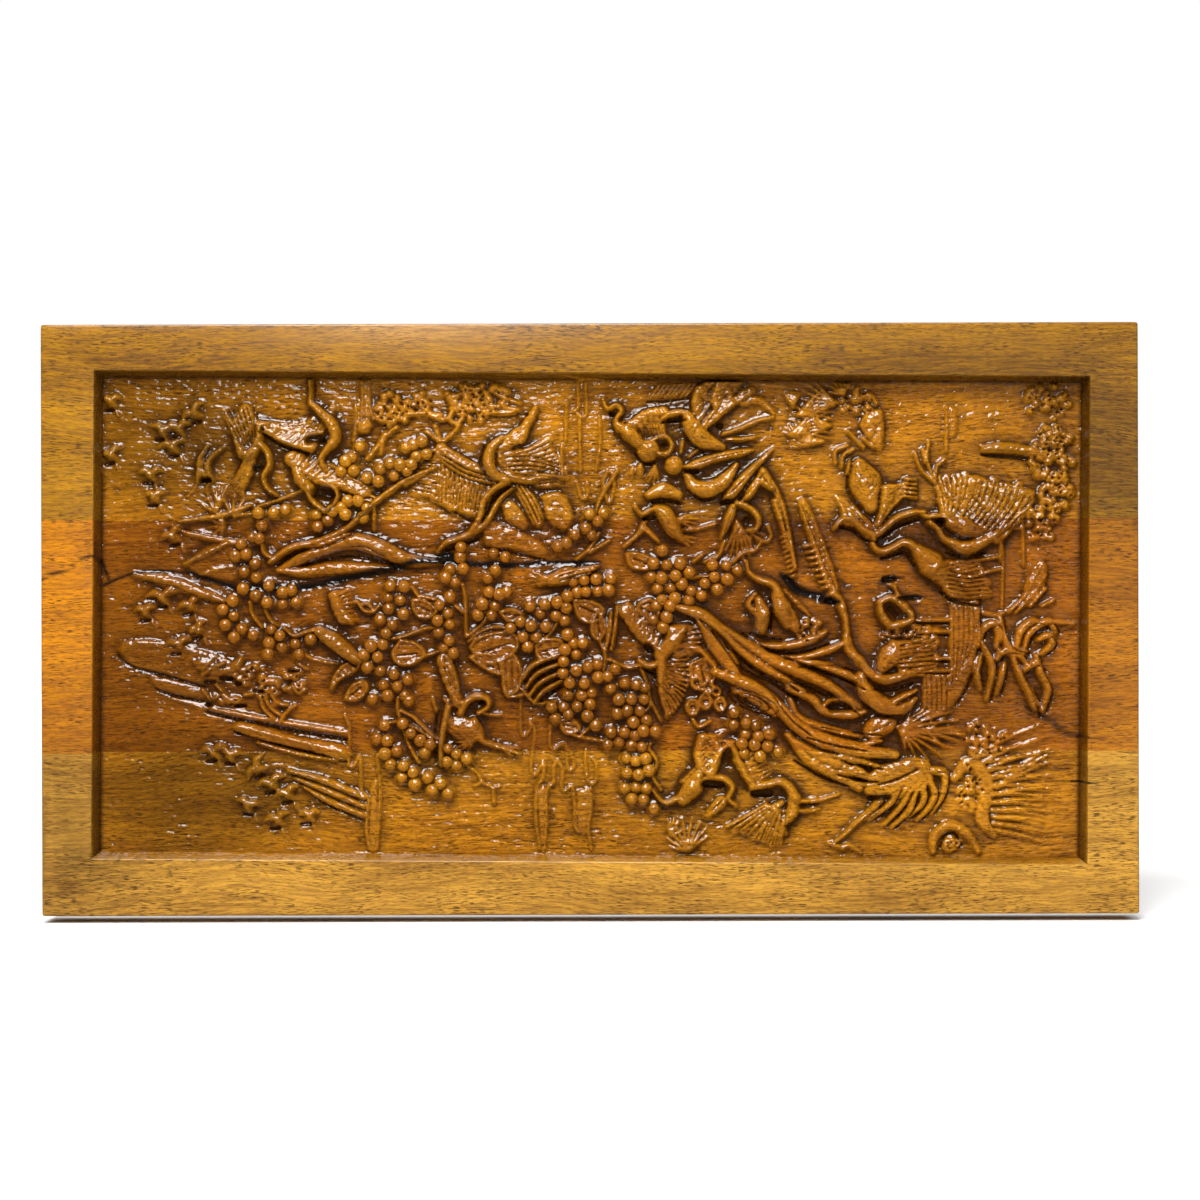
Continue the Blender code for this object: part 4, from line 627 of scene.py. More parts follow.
def carveVines(c):
    # thin stems and tendrils
    c.lines((
        ((462, 584), (465, 600), (466, 636)), ((466, 637), (478, 628), (485, 620)), ((455, 606), (462, 612)),
        ((468, 642), (480, 632), (496, 627), (512, 630)), ((384, 640), (402, 637), (424, 629), (442, 628)),
        ((404, 664), (420, 658), (438, 652), (450, 650)), ((397, 698), (397, 712), (402, 724), (416, 730), (436, 744)),
        ((400, 712), (412, 718), (424, 730), (436, 740)), ((400, 724), (408, 746), (418, 764)),
        ((402, 722), (386, 724)), ((558, 622), (550, 634), (538, 642)), ((566, 732), (580, 738), (604, 742)),
        ((580, 738), (590, 728), (594, 722)), ((640, 664), (648, 684), (652, 702), (662, 722)),
        ((643, 716), (651, 706), (648, 700)), ((604, 742), (614, 744)),
        ((650, 750), (658, 764), (654, 778), (662, 792)), ((648, 752), (652, 744)),
        ((248, 602), (250, 614), (260, 628)), ((262, 606), (268, 620), (276, 626)),
        ((680, 652), (704, 650), (722, 672)), ((733, 564), (744, 553), (756, 550), (764, 540)),
        ((624, 546), (638, 534), (644, 522)), ((644, 528), (660, 542)), ((428, 470), (416, 478), (404, 484)),
        ((420, 460), (432, 450), (444, 444)), ((330, 464), (346, 474), (366, 486)),
        ((590, 552), (600, 546), (610, 540)), ((576, 560), (590, 548), (600, 532)), ((420, 596), (436, 600)),
        ((412, 588), (420, 600)), ((432, 700), (436, 712)), ((372, 610), (366, 604), (358, 606)),
        ((600, 640), (606, 656), (604, 672)), ((694, 720), (700, 728), (712, 722)), ((722, 742), (736, 743)),
        ((736, 746), (748, 770), (752, 784)), ((742, 718), (736, 712)), ((300, 490), (280, 498), (256, 506)),
        ((686, 578), (712, 576)), ((706, 562), (716, 556)), ((610, 660), (628, 668), (640, 666)),
        ((618, 470), (600, 500), (596, 520)), ((694, 562), (704, 554)),
    ), 3.8, 0.46)
    # hollow leaves: a raised rim round a sunk middle with a vein
    for rim, vein in (
        (((400, 641), (414, 644), (424, 654), (412, 664), (398, 664), (392, 654)), ((396, 656), (416, 654))),
        (((470, 648), (476, 640), (492, 634), (512, 634), (518, 646), (506, 658), (484, 664)),
         ((478, 654), (510, 644))),
        (((470, 658), (484, 668), (500, 674), (498, 660), (482, 654)), ((476, 660), (494, 668))),
        (((503, 660), (514, 656), (521, 672), (518, 690), (508, 694), (503, 680)), ((512, 662), (512, 690))),
        (((344, 700), (350, 688), (362, 682), (366, 690), (356, 700)), ((350, 696), (360, 688))),
        (((330, 690), (338, 680), (352, 672), (358, 664), (346, 664), (334, 676)), ((336, 684), (350, 672))),
        (((574, 600), (592, 602), (604, 610), (596, 622), (580, 618)), ((580, 606), (598, 614))),
        (((640, 604), (652, 600), (660, 612), (650, 622), (638, 616)), ((642, 608), (654, 614))),
        (((536, 646), (548, 640), (562, 642), (560, 656), (540, 658)), ((542, 652), (558, 648))),
        (((628, 553), (640, 554), (654, 560), (650, 568), (632, 566)), ((634, 558), (648, 564))),
        (((500, 612), (512, 610), (522, 616), (510, 622)), ((504, 614), (518, 616))),
        (((560, 722), (572, 720), (580, 730), (566, 734)), ((564, 726), (576, 728))),
        (((598, 610), (606, 626), (600, 640), (592, 630)), ((598, 618), (600, 634))),
        (((412, 600), (426, 602), (436, 612), (424, 618), (414, 612)), ((418, 606), (430, 612))),
        (((692, 664), (708, 660), (716, 676), (706, 690), (694, 684)), ((702, 666), (706, 684))),
    ):
        c.plate(rim, 0.3, 5)
        c.groove(rim[:4], 5, 0.05)
        c.ridge(list(rim) + [rim[0]], 3.6, 0.5)
        c.groove(vein, 2.6, 0.14)
        c.groove(rim[-2:] + rim[:1], 3, 0.08)
    # a ribbed leaf that arches up from its stalk
    steps = ((4, 8), (3, 9), (0, 9))
    for line in drifting(4, ((522, 680), (534, 665), (562, 654)), steps):
        c.ridge(line, (4, 6, 4), 0.56)
    for line in drifting(4, ((525, 684), (538, 670), (563, 660)), steps):
        c.groove(line, (2, 4, 2), 0.2)
    c.lines((((503, 684), (507, 697), (522, 696)), ((522, 690), (536, 704), (556, 702))), 4, 0.5)
    # tall narrow leaves left of the open-winged crane
    c.ridge(((612, 612), (610, 632), (606, 652)), (3, 8, 3), 0.5)
    c.ridge(((618, 606), (616, 626), (612, 650)), (3, 6, 3), 0.46)
    c.groove(((614, 610), (613, 632), (608, 652)), 2, 0.14)
    # small curls, each wound round an eye
    for u, v, size in ((694, 708, 15), (707, 702, 15), (722, 705, 13), (710, 688, 12), (718, 692, 9), (698, 684, 12)):
        ring = [(u + size * 0.42 * math.cos(t), v + size * 0.5 * math.sin(t)) for t in (0, 1, 2, 3, 4, 5, 6.28)]
        c.plate(ring, 0.34, 4)
        c.ridge(ring, 3.2, 0.5)
        c.groove(((u - 1, v), (u + 1, v)), 5, 0.2)
        c.dome((u, v), 3.4, 0.42)


berry = {
    "size": 12.8,               # on the sheet
    "spread": (0.9, 1.08),      # smallest and largest, as shares of the size
    "scatter": 0.04,
    "rise": (0.5, 0.78),        # how high their tops stand, as shares of the relief
    "bedWidth": 1.3,
    "bedHeight": 0.2,
    "gapWidth": 1.5,
    # darkness painted round each berry as the shade in the gaps between them
    "gapPaintedShade": 0.75,
    "segments": 12,
    "rings": 8,
    "seed": 5,
}


def carveBerries(c):
    for bunch in berryPlaces:
        for place in bunch:
            c.berry(place)


# where the berries sit on the sheet, one row for each bunch
berryPlaces = (
    ((351, 457), (359, 446), (345, 460), (353, 470), (366, 477), (379, 468), (377, 480), (389, 463), (393, 475),
     (400, 464), (407, 470), (411, 463), (405, 447), (413, 444), (421, 441), (416, 455), (426, 453), (340, 470)),
    ((315, 514), (316, 526), (327, 520), (331, 510), (340, 507),
     (347, 500), (345, 514), (357, 500), (366, 507), (362, 517)),
    ((257, 512), (272, 512), (284, 509), (260, 525), (251, 537), (240, 544), (258, 538)),
    ((234, 556), (244, 554), (253, 564), (242, 571), (255, 577), (241, 589), (254, 595),
     (267, 586), (281, 592), (290, 590), (266, 603), (281, 604), (295, 602), (231, 601),
     (221, 610), (232, 616), (224, 625), (240, 629), (252, 636), (233, 637), (270, 630),
     (279, 636), (268, 643), (280, 648), (294, 644), (309, 640), (267, 655), (297, 655)),
    ((390, 586), (403, 587), (387, 598), (400, 600), (388, 609), (403, 614), (379, 620), (392, 625),
     (385, 634), (382, 645), (370, 646), (363, 656), (377, 658), (366, 668), (379, 672), (393, 675),
     (383, 686), (397, 687), (407, 680), (387, 696), (404, 696), (408, 702), (372, 700)),
    ((384, 727), (376, 740), (387, 742), (384, 755), (396, 752), (390, 766), (403, 767),
     (401, 779), (413, 774), (414, 785), (427, 779), (432, 792), (440, 785), (448, 795),
     (410, 734), (402, 724), (420, 742), (430, 746), (424, 754)),
    ((447, 750), (456, 756), (446, 763), (456, 767), (467, 760)),
    ((461, 547), (460, 557), (450, 570), (463, 568), (445, 577), (455, 583), (450, 597), (439, 605),
     (448, 614), (437, 621), (450, 625), (438, 633), (449, 641), (443, 649), (453, 654)),
    ((493, 553), (505, 557), (495, 570), (488, 578), (489, 592), (499, 595),
     (507, 592), (482, 604), (495, 606), (478, 615), (491, 615)),
    ((530, 606), (545, 605), (557, 603), (568, 596), (578, 592), (567, 608), (541, 614), (556, 616), (520, 622),
     (565, 621), (531, 626), (546, 627), (511, 628), (523, 637), (568, 635), (536, 638), (528, 647)),
    ((565, 650), (577, 655), (583, 644), (574, 644), (564, 662), (577, 671), (588, 668),
     (563, 674), (570, 684), (585, 684), (568, 696), (582, 697), (592, 694), (552, 708),
     (564, 708), (578, 707), (591, 705), (569, 716), (556, 720), (588, 717), (596, 726)),
    ((598, 665), (608, 677), (599, 678), (616, 670), (611, 690), (626, 684), (637, 686), (620, 701), (632, 700),
     (646, 688), (645, 700), (641, 712), (628, 712), (618, 714), (634, 723), (648, 722), (656, 732), (644, 732)),
    ((612, 734), (625, 734), (636, 736), (608, 746), (620, 744), (632, 747), (643, 748),
     (627, 760), (637, 762), (646, 760), (628, 774), (639, 776), (650, 772), (626, 790),
     (637, 789), (647, 790), (633, 800), (644, 801), (655, 810)),
    ((663, 550), (654, 563), (668, 565), (681, 563), (652, 577), (663, 578), (677, 576),
     (690, 572), (659, 589), (672, 589), (683, 584), (692, 591), (703, 595), (676, 598),
     (663, 600), (657, 606), (671, 606), (690, 601), (668, 618), (664, 628), (655, 620)),
    ((714, 565), (728, 566), (739, 570), (706, 583), (716, 577), (729, 579), (719, 589)),
    ((736, 714), (735, 726), (748, 724), (758, 728), (747, 736), (760, 738), (771, 735),
     (743, 745), (756, 746), (769, 747), (780, 753), (746, 755), (761, 757)),
    ((558, 546), (567, 543), (575, 534), (586, 528), (592, 535), (598, 521), (590, 514), (604, 512)),
    ((585, 580), (597, 579), (612, 579), (586, 592), (598, 591), (610, 590), (574, 582)),
)


def carveCranesWest(c):
    # two dancing pairs at the upper left
    c.plate(((219, 405), (230, 417), (238, 405), (246, 402), (256, 418), (258, 430), (252, 446),
             (240, 452), (230, 436)), 0.4, 6)
    for line in drifting(7, ((221, 410), (232, 430), (243, 450)), ((5, -0.6), (3.6, -1), (1.6, -1))):
        c.groove(line, 2.2, 0.14)
    c.roughen(((232, 426), (244, 432), (248, 416)), 1.6)
    c.ridge(((234, 440), (242, 452), (250, 452), (257, 440), (258, 428)), (6, 15, 15, 11, 5), 0.72)
    c.ridge(((255, 440), (265, 450), (268, 464), (262, 476), (266, 488), (276, 495)), (9, 8, 7, 6, 5, 2), 0.74)
    c.wing(((248, 460), (246, 470), (243, 478)), (236, 258), (30, 18), 0.4, 5)
    c.pit((256, 467), 12, 10, 8, 0.36)
    c.pit((261, 428), 5, -40, 4, 0.3)
    c.wing(((310, 448), (284, 440), (258, 424)), (62, 8), (50, 12), 0.44)
    c.groove(((258, 431), (282, 444), (306, 452)), (3, 5, 4), 0.24)
    c.ridge(((310, 402), (320, 412), (331, 424), (334, 438), (326, 448), (320, 458), (324, 470)),
            (6, 9, 13, 12, 8, 7, 5), (0.6, 0.8, 0.95, 0.92, 0.8, 0.7, 0.5))
    c.pit((315, 438), 26, 6, 11, 0.4)
    c.ridge(((302, 446), (304, 438), (312, 432), (322, 434), (328, 442)), 3.6, 0.6)
    c.dome((309, 446), 12, 0.55)
    c.ridge(((308, 374), (309, 388), (309, 403)), (5, 4, 5), 0.5)
    c.groove(((313, 376), (314, 402)), 2.4, 0.12)
    c.wing(((316, 478), (304, 470), (290, 458)), (26, 60), (24, 10), 0.5)
    c.wing(((321, 479), (342, 484), (362, 492)), (40, 20), (26, 12), 0.44)
    c.ridge(((292, 460), (300, 478), (310, 490)), (9, 16, 12), (0.5, 0.85, 0.8))
    c.pit((322, 493), 26, -6, 13, 0.4)
    c.ridge(((306, 482), (309, 497), (320, 508), (328, 510), (336, 498), (334, 488), (322, 480)),
            (9, 6, 6, 6, 5, 5, 6), 0.7)
    c.dome((318, 492), 6, 0.2)
    c.ridge(((282, 628), (292, 636), (304, 633), (314, 630), (322, 634)), (2, 3.6, 4, 5, 8), 0.6)
    c.ridge(((318, 632), (332, 642), (348, 654), (360, 662)), (12, 20, 16, 6), 0.78)
    c.groove(((322, 645), (340, 658), (356, 668)), (3, 4, 3), 0.2)
    c.lines((((300, 652), (312, 660), (336, 664)), ((296, 664), (306, 670))), 3.4, 0.3)
    c.wing(((332, 596), (336, 606), (342, 618)), (20, -10), (16, 14), 0.46)
    c.ridge(((334, 596), (340, 610), (350, 622)), (8, 14, 8), 0.6)
    c.ridge(((348, 604), (356, 602), (362, 610), (372, 612), (378, 606)), 3.6, 0.5)
    # the ragged nest of birds over the long plank
    c.plate(((186, 660), (206, 658), (222, 666), (240, 656), (238, 672), (222, 676), (200, 676)), 0.4, 6)
    c.ridge(((200, 676), (212, 668), (222, 664)), 3.4, 0.56)
    for u, v, wide, tall in (
        (208, 683, 14, 6), (224, 679, 16, 6), (236, 684, 8, 6), (256, 692, 12, 5), (206, 706, 8, 7),
        (238, 707, 14, 4), (288, 684, 8, 8), (292, 672, 14, 4),
    ):
        c.pit((u, v), wide, 0, tall, 0.32)
    for clump in (
        ((250, 676), (36, 20), 12, 8, 0.36, 41), ((270, 692), (26, 26), 10, 8, 0.36, 42),
        ((292, 682), (20, 22), 8, 8, 0.36, 43), ((226, 698), (30, 12), 8, 8, 0.3, 44),
    ):
        c.tuft(*clump)
    c.lines((
        ((258, 698), (262, 710), (272, 720)), ((262, 696), (268, 708), (278, 716)),
        ((268, 694), (276, 704), (286, 706)), ((278, 724), (284, 714), (294, 706)),
        ((242, 696), (252, 694), (260, 688)), ((290, 684), (296, 694), (304, 690)),
        ((200, 690), (208, 700), (214, 698)), ((212, 684), (220, 692)),
    ), 4, 0.42)


def carveCraneCentre(c):
    # the large crane that bends down over the crack, wings thrown wide
    for patch in (
        ((482, 526), (490, 519), (520, 530), (545, 545), (544, 556), (516, 550), (486, 545)),
        ((500, 504), (512, 499), (528, 520), (524, 530), (508, 522)),
        ((540, 494), (562, 492), (574, 516), (566, 530), (548, 520)),
    ):
        c.plate(patch, 0.3, 5)
        c.roughen(smoothPath(patch, 2), 1.6)
    c.roughen([Vector((u, v)) for u in (508, 520, 532, 550, 562) for v in (504, 516, 528)], 1.8)
    c.groove(((484, 547), (516, 553), (546, 560)), 3, 0.16)
    c.plate(((438, 446), (462, 462), (492, 474), (488, 500), (476, 518), (452, 506), (444, 482)), 0.3, 5)
    c.roughen([Vector((u, v)) for u in (452, 464, 476) for v in (476, 490, 504)], 1.2)
    c.wing(((498, 474), (468, 464), (440, 448)), (250, 262), (42, 50), 0.34, 6)
    c.wing(((446, 462), (446, 480), (452, 504)), (168, 158), (24, 44), 0.34, 5)
    steps = ((0, 5), (0, 5), (0, 4))
    for line in drifting(3, ((444, 452), (466, 465), (494, 474)), steps):
        c.ridge(line, 4, 0.5)
    for line in drifting(3, ((444, 455), (466, 468), (492, 477)), steps):
        c.groove(line, 2, 0.16)
    c.groove(((452, 510), (470, 520), (478, 522)), 3, 0.16)
    c.wing(((500, 448), (510, 440), (520, 436)), (44, 56), (44, 32), 0.44)
    c.ridge(((520, 430), (530, 418), (536, 406)), (6, 9, 5), 0.5)
    c.pit((527, 413), 5, 40, 4, 0.2)
    c.wing(((500, 456), (502, 466), (508, 476)), (16, -6), (50, 62), 0.5, 9)
    for line in drifting(5, ((514, 456), (534, 456), (560, 464)), ((0, 4.4), (0, 4.6), (0, 3.4))):
        c.groove(line, (2, 2.6, 2), 0.14)
    c.ridge(((506, 474), (528, 479), (548, 475), (569, 478)), (9, 9, 7, 3), 0.66)
    c.groove(((512, 482), (530, 484), (556, 481)), 3, 0.14)
    c.ridge(((502, 437), (492, 447), (489, 460), (494, 473), (508, 480)), (7, 12, 15, 14, 9), (0.7, 0.95, 1, 0.95, 0.8))
    c.groove(((484, 446), (480, 462), (486, 474)), 3, 0.2)
    c.ridge(((509, 480), (494, 488), (484, 500), (480, 516), (472, 530)), (8, 7, 7, 7, 8), 0.74)
    c.ridge(((512, 488), (502, 496), (494, 508), (484, 524), (462, 537), (446, 542), (437, 552)),
            (4, 5, 6, 8, 8, 6, 3), 0.62)
    c.groove(((510, 486), (494, 498), (488, 512), (482, 520)), (2, 4, 3), 0.26)
    c.groove(((478, 538), (462, 544), (446, 550)), 3.4, 0.22)
    c.plate(((512, 484), (522, 482), (538, 500), (544, 520), (536, 527), (524, 508)), 0.4, 4)
    for line in drifting(3, ((515, 486), (526, 505), (536, 525)), ((4, -1), (4, -2), (3, -3))):
        c.groove(line, 2.2, 0.18)
    c.ridge(((598, 566), (584, 572), (566, 576), (552, 580)), (4, 12, 18, 14), 0.6)
    c.strokes((556, 578), (206, 196, 186, 176, 166), (20, 26, 28, 28, 24), 3.8, 0.46)
    for line in drifting(3, ((560, 571), (578, 567), (598, 564)), ((0, 5), (0, 4), (0, 3))):
        c.groove(line, 2, 0.18)
    # the lower crane with its tail to the right
    c.wing(((458, 704), (452, 686), (444, 662)), (110, 96), (14, 10), 0.5, 8)
    for line in drifting(4, ((444, 668), (450, 684), (458, 700)), ((4, 2), (3, 0), (1, 0))):
        c.groove(line, 2, 0.15)
    c.ridge(((460, 714), (466, 703), (476, 697), (487, 700), (488, 708), (478, 714)), (9, 8, 8, 7, 5, 5), 0.66)
    c.pit((481, 703), 7, 10, 4, 0.34)
    c.lines((((480, 713), (492, 716), (502, 716)), ((446, 706), (450, 698))), 3.4, 0.4)
    c.ridge(((446, 722), (458, 728), (470, 732), (480, 738)), (12, 26, 26, 10), 0.56)
    c.roughen(((458, 728), (470, 732), (464, 722)), 1.8)
    c.strokes((474, 740), (190, 205, 220, 240, 160), (24, 24, 20, 14, 22), 3.4, 0.5)
    c.ridge(((448, 708), (444, 726), (441, 746), (441, 766)), (8, 8, 7, 6), 0.8)
    c.groove(((436, 716), (434, 740), (436, 764)), 3.4, 0.2)
    c.ridge(((474, 722), (480, 740), (496, 747), (520, 755)), (8, 7, 6, 3), 0.5)
    c.lines((((496, 745), (508, 748), (519, 750)), ((502, 750), (512, 757))), 3, 0.36)
    c.ridge(((444, 700), (450, 706), (458, 706)), 4, 0.4)


def carveCranesCrowded(c):
    # the flock right of the centre, bodies and blades crossing
    c.ridge(((603, 396), (608, 407), (617, 404), (622, 410), (617, 418), (619, 428), (628, 426)),
            (2, 4, 6, 6, 5, 6, 9), (0.4, 0.6, 0.7, 0.66, 0.6, 0.66, 0.8))
    c.ridge(((619, 424), (630, 432), (642, 444)), (8, 17, 13), (0.7, 0.95, 0.7))
    c.wing(((634, 424), (648, 414), (664, 411)), (296, 274), (22, 26), 0.42, 5)
    c.lines((((638, 438), (648, 440), (658, 437)), ((624, 420), (640, 420))), 3.6, 0.5)
    c.pit((613, 412), 8, -20, 5, 0.26)
    for k in range(8):
        c.ridge(((652 + 5 * k, 396 - (k % 3)), (657 + 5 * k, 388), (661 + 5 * k, 382)), 2.6, 0.26)
    c.groove(((648, 400), (668, 399), (690, 396)), 2.4, 0.16)
    c.wing(((704, 426), (716, 414), (730, 402)), (52, 30), (38, 26), 0.5, 5)
    c.wing(((700, 418), (696, 402), (700, 388)), (60, 34), (30, 46), 0.44, 5)
    c.wing(((718, 404), (716, 394), (720, 384)), (40, 20), (30, 40), 0.46, 4)
    c.ridge(((744, 402), (760, 398), (776, 412)), (6, 8, 4), 0.24)
    c.ridge(((688, 414), (694, 426), (704, 438), (724, 446)), (11, 22, 21, 8), (0.9, 1, 0.95, 0.6))
    c.groove(((682, 424), (690, 440), (704, 450)), 3.4, 0.2)
    c.ridge(((692, 414), (682, 411), (670, 413), (662, 419)), (7, 7, 7, 3), 0.76)
    c.groove(((664, 420), (676, 418), (686, 419)), 5, 0.3)
    c.pit((721, 424), 8, -30, 6, 0.36)
    c.lines((((724, 433), (742, 427), (758, 420), (775, 416)), ((728, 438), (744, 438), (757, 436)),
             ((700, 448), (690, 456)), ((684, 440), (682, 452))), 4, 0.5)
    c.dome((649, 449), 24, 0.8)
    c.groove(((636, 452), (644, 462), (656, 462)), 3, 0.2)
    c.ridge(((660, 453), (669, 452), (673, 444), (668, 436), (660, 436)), (6, 6, 5, 4, 3), 0.62)
    c.pit((665, 444), 6, 60, 5, 0.3)
    c.strokes((642, 462), (250, 262, 232, 275), (14, 16, 14, 14), 3.6, 0.4)
    c.strokes((656, 464), (250, 266, 282, 236), (18, 20, 16, 16), 3.8, 0.42)
    c.strokes((634, 466), (244, 262, 230), (12, 14, 12), 3.4, 0.34)
    c.dome((675, 464), 20, 0.8)
    c.plate(((682, 466), (702, 456), (730, 449), (757, 448), (742, 456), (716, 462), (694, 470)), 0.66, 5)
    c.groove(((694, 464), (720, 456), (750, 450)), 1.8, 0.16)
    c.pit((693, 470), 16, 4, 6, 0.34)
    c.ridge(((688, 474), (696, 486), (712, 488), (726, 480), (738, 464)), (7, 16, 19, 16, 6), (0.7, 0.95, 1, 0.95, 0.6))
    c.groove(((690, 490), (706, 499), (724, 492)), 4, 0.22)
    c.roughen(((708, 494), (718, 492), (728, 488)), 1.8)
    c.ridge(((650, 494), (664, 489), (680, 494)), (9, 17, 9), 0.56)
    c.groove(((654, 501), (668, 500), (682, 502)), 4, 0.24)
    c.ridge(((636, 506), (643, 514), (650, 510), (658, 508)), (4, 5, 5, 7), 0.6)
    c.pit((650, 517), 14, 10, 6, 0.34)
    c.ridge(((658, 508), (666, 514), (674, 528), (682, 538)), (9, 18, 18, 8), (0.8, 0.95, 0.9, 0.5))
    c.lines((((682, 530), (700, 528), (717, 523)), ((654, 514), (646, 522), (644, 530), (626, 546)),
             ((646, 526), (660, 541))), 3.6, 0.44)
    c.strokes((674, 520), (16, 4, -8, -20), (22, 26, 24, 22), 4, 0.46)
    c.strokes((676, 536), (-6, -20, -34), (22, 22, 18), 3.8, 0.42)
    for blade, vein in (
        (((722, 500), (730, 486), (748, 468), (776, 446), (768, 458), (752, 478), (738, 496)),
         ((730, 494), (750, 474), (770, 452))),
        (((742, 500), (748, 488), (762, 470), (764, 478), (758, 492), (750, 500)), ((748, 494), (760, 476))),
        (((732, 502), (738, 504), (736, 518), (722, 540), (724, 522)), ((734, 508), (726, 532))),
        (((756, 482), (762, 466), (770, 470), (778, 488), (772, 490)), ((762, 474), (772, 486))),
    ):
        c.plate(blade, 0.74, 5)
        c.groove(vein, 2, 0.14)
    c.pit((728, 501), 14, 8, 5, 0.3)
    c.groove(((738, 502), (752, 488), (764, 474)), 3, 0.2)
    c.ridge(((739, 502), (752, 508), (760, 518), (758, 528), (750, 530)), (7, 7, 7, 6, 5), 0.74)
    c.pit((748, 521), 12, 60, 8, 0.28)
    c.strokes((738, 520), (-60, -70, -80, -90, -100, -110), (34, 40, 42, 42, 40, 34), 3.8, 0.36)
    c.strokes((752, 530), (-20, -60, -90), (16, 20, 18), 3.6, 0.4)
    c.lines((((752, 532), (766, 541), (773, 536), (770, 526)), ((726, 540), (722, 552), (716, 560))), 4, 0.46)
    c.ridge(((766, 470), (776, 486), (784, 506), (790, 530), (797, 568)), (4, 6, 6, 6, 5), 0.54)
    c.ridge(((776, 500), (784, 524), (790, 548)), (5, 6, 5), 0.4)
    c.groove(((772, 480), (782, 502), (788, 530)), 2.4, 0.2)
    for line in drifting(9, ((788, 534), (783, 537)), ((1.2, 5), (1.2, 5))):
        c.ridge(line, 2.8, 0.4)
    c.plate(((800, 500), (808, 498), (822, 530), (834, 562), (842, 592), (832, 596), (818, 560), (806, 526)), 0.36, 5)
    for line in drifting(3, ((804, 506), (816, 536), (832, 580)), ((4, 4), (4, 4), (3, 4))):
        c.groove(line, 2, 0.16)
    for line in drifting(8, ((806, 546), (824, 542)), ((2.6, 6), (2, 6.4))):
        c.ridge(line, 3.2, 0.42)
    c.ridge(((836, 590), (842, 606), (848, 624)), (6, 6, 4), 0.5)
    c.ridge(((748, 561), (751, 573), (762, 580), (775, 585), (781, 596)), (3, 5, 7, 9, 12), (0.5, 0.6, 0.7, 0.8, 0.9))
    c.ridge(((778, 594), (783, 608), (790, 624)), (12, 22, 12), (0.8, 0.95, 0.6))
    c.wing(((784, 606), (792, 614), (796, 624)), (-30, -70), (18, 16), 0.5, 5)
    c.ridge(((757, 594), (750, 604), (756, 612)), (4, 6, 8), 0.56)
    c.ridge(((760, 600), (764, 614), (763, 628)), (9, 18, 13), (0.6, 0.85, 0.6))
    c.groove(((772, 598), (774, 614), (772, 632)), (2, 4, 3), 0.3)
    c.groove(((752, 634), (766, 638), (784, 640)), (3, 5, 3), 0.2)
    c.ridge(((786, 590), (800, 604), (812, 616)), (4, 7, 3), 0.3)
    c.tuft((812, 630), (30, 22), 10, 8, 0.42, 45)


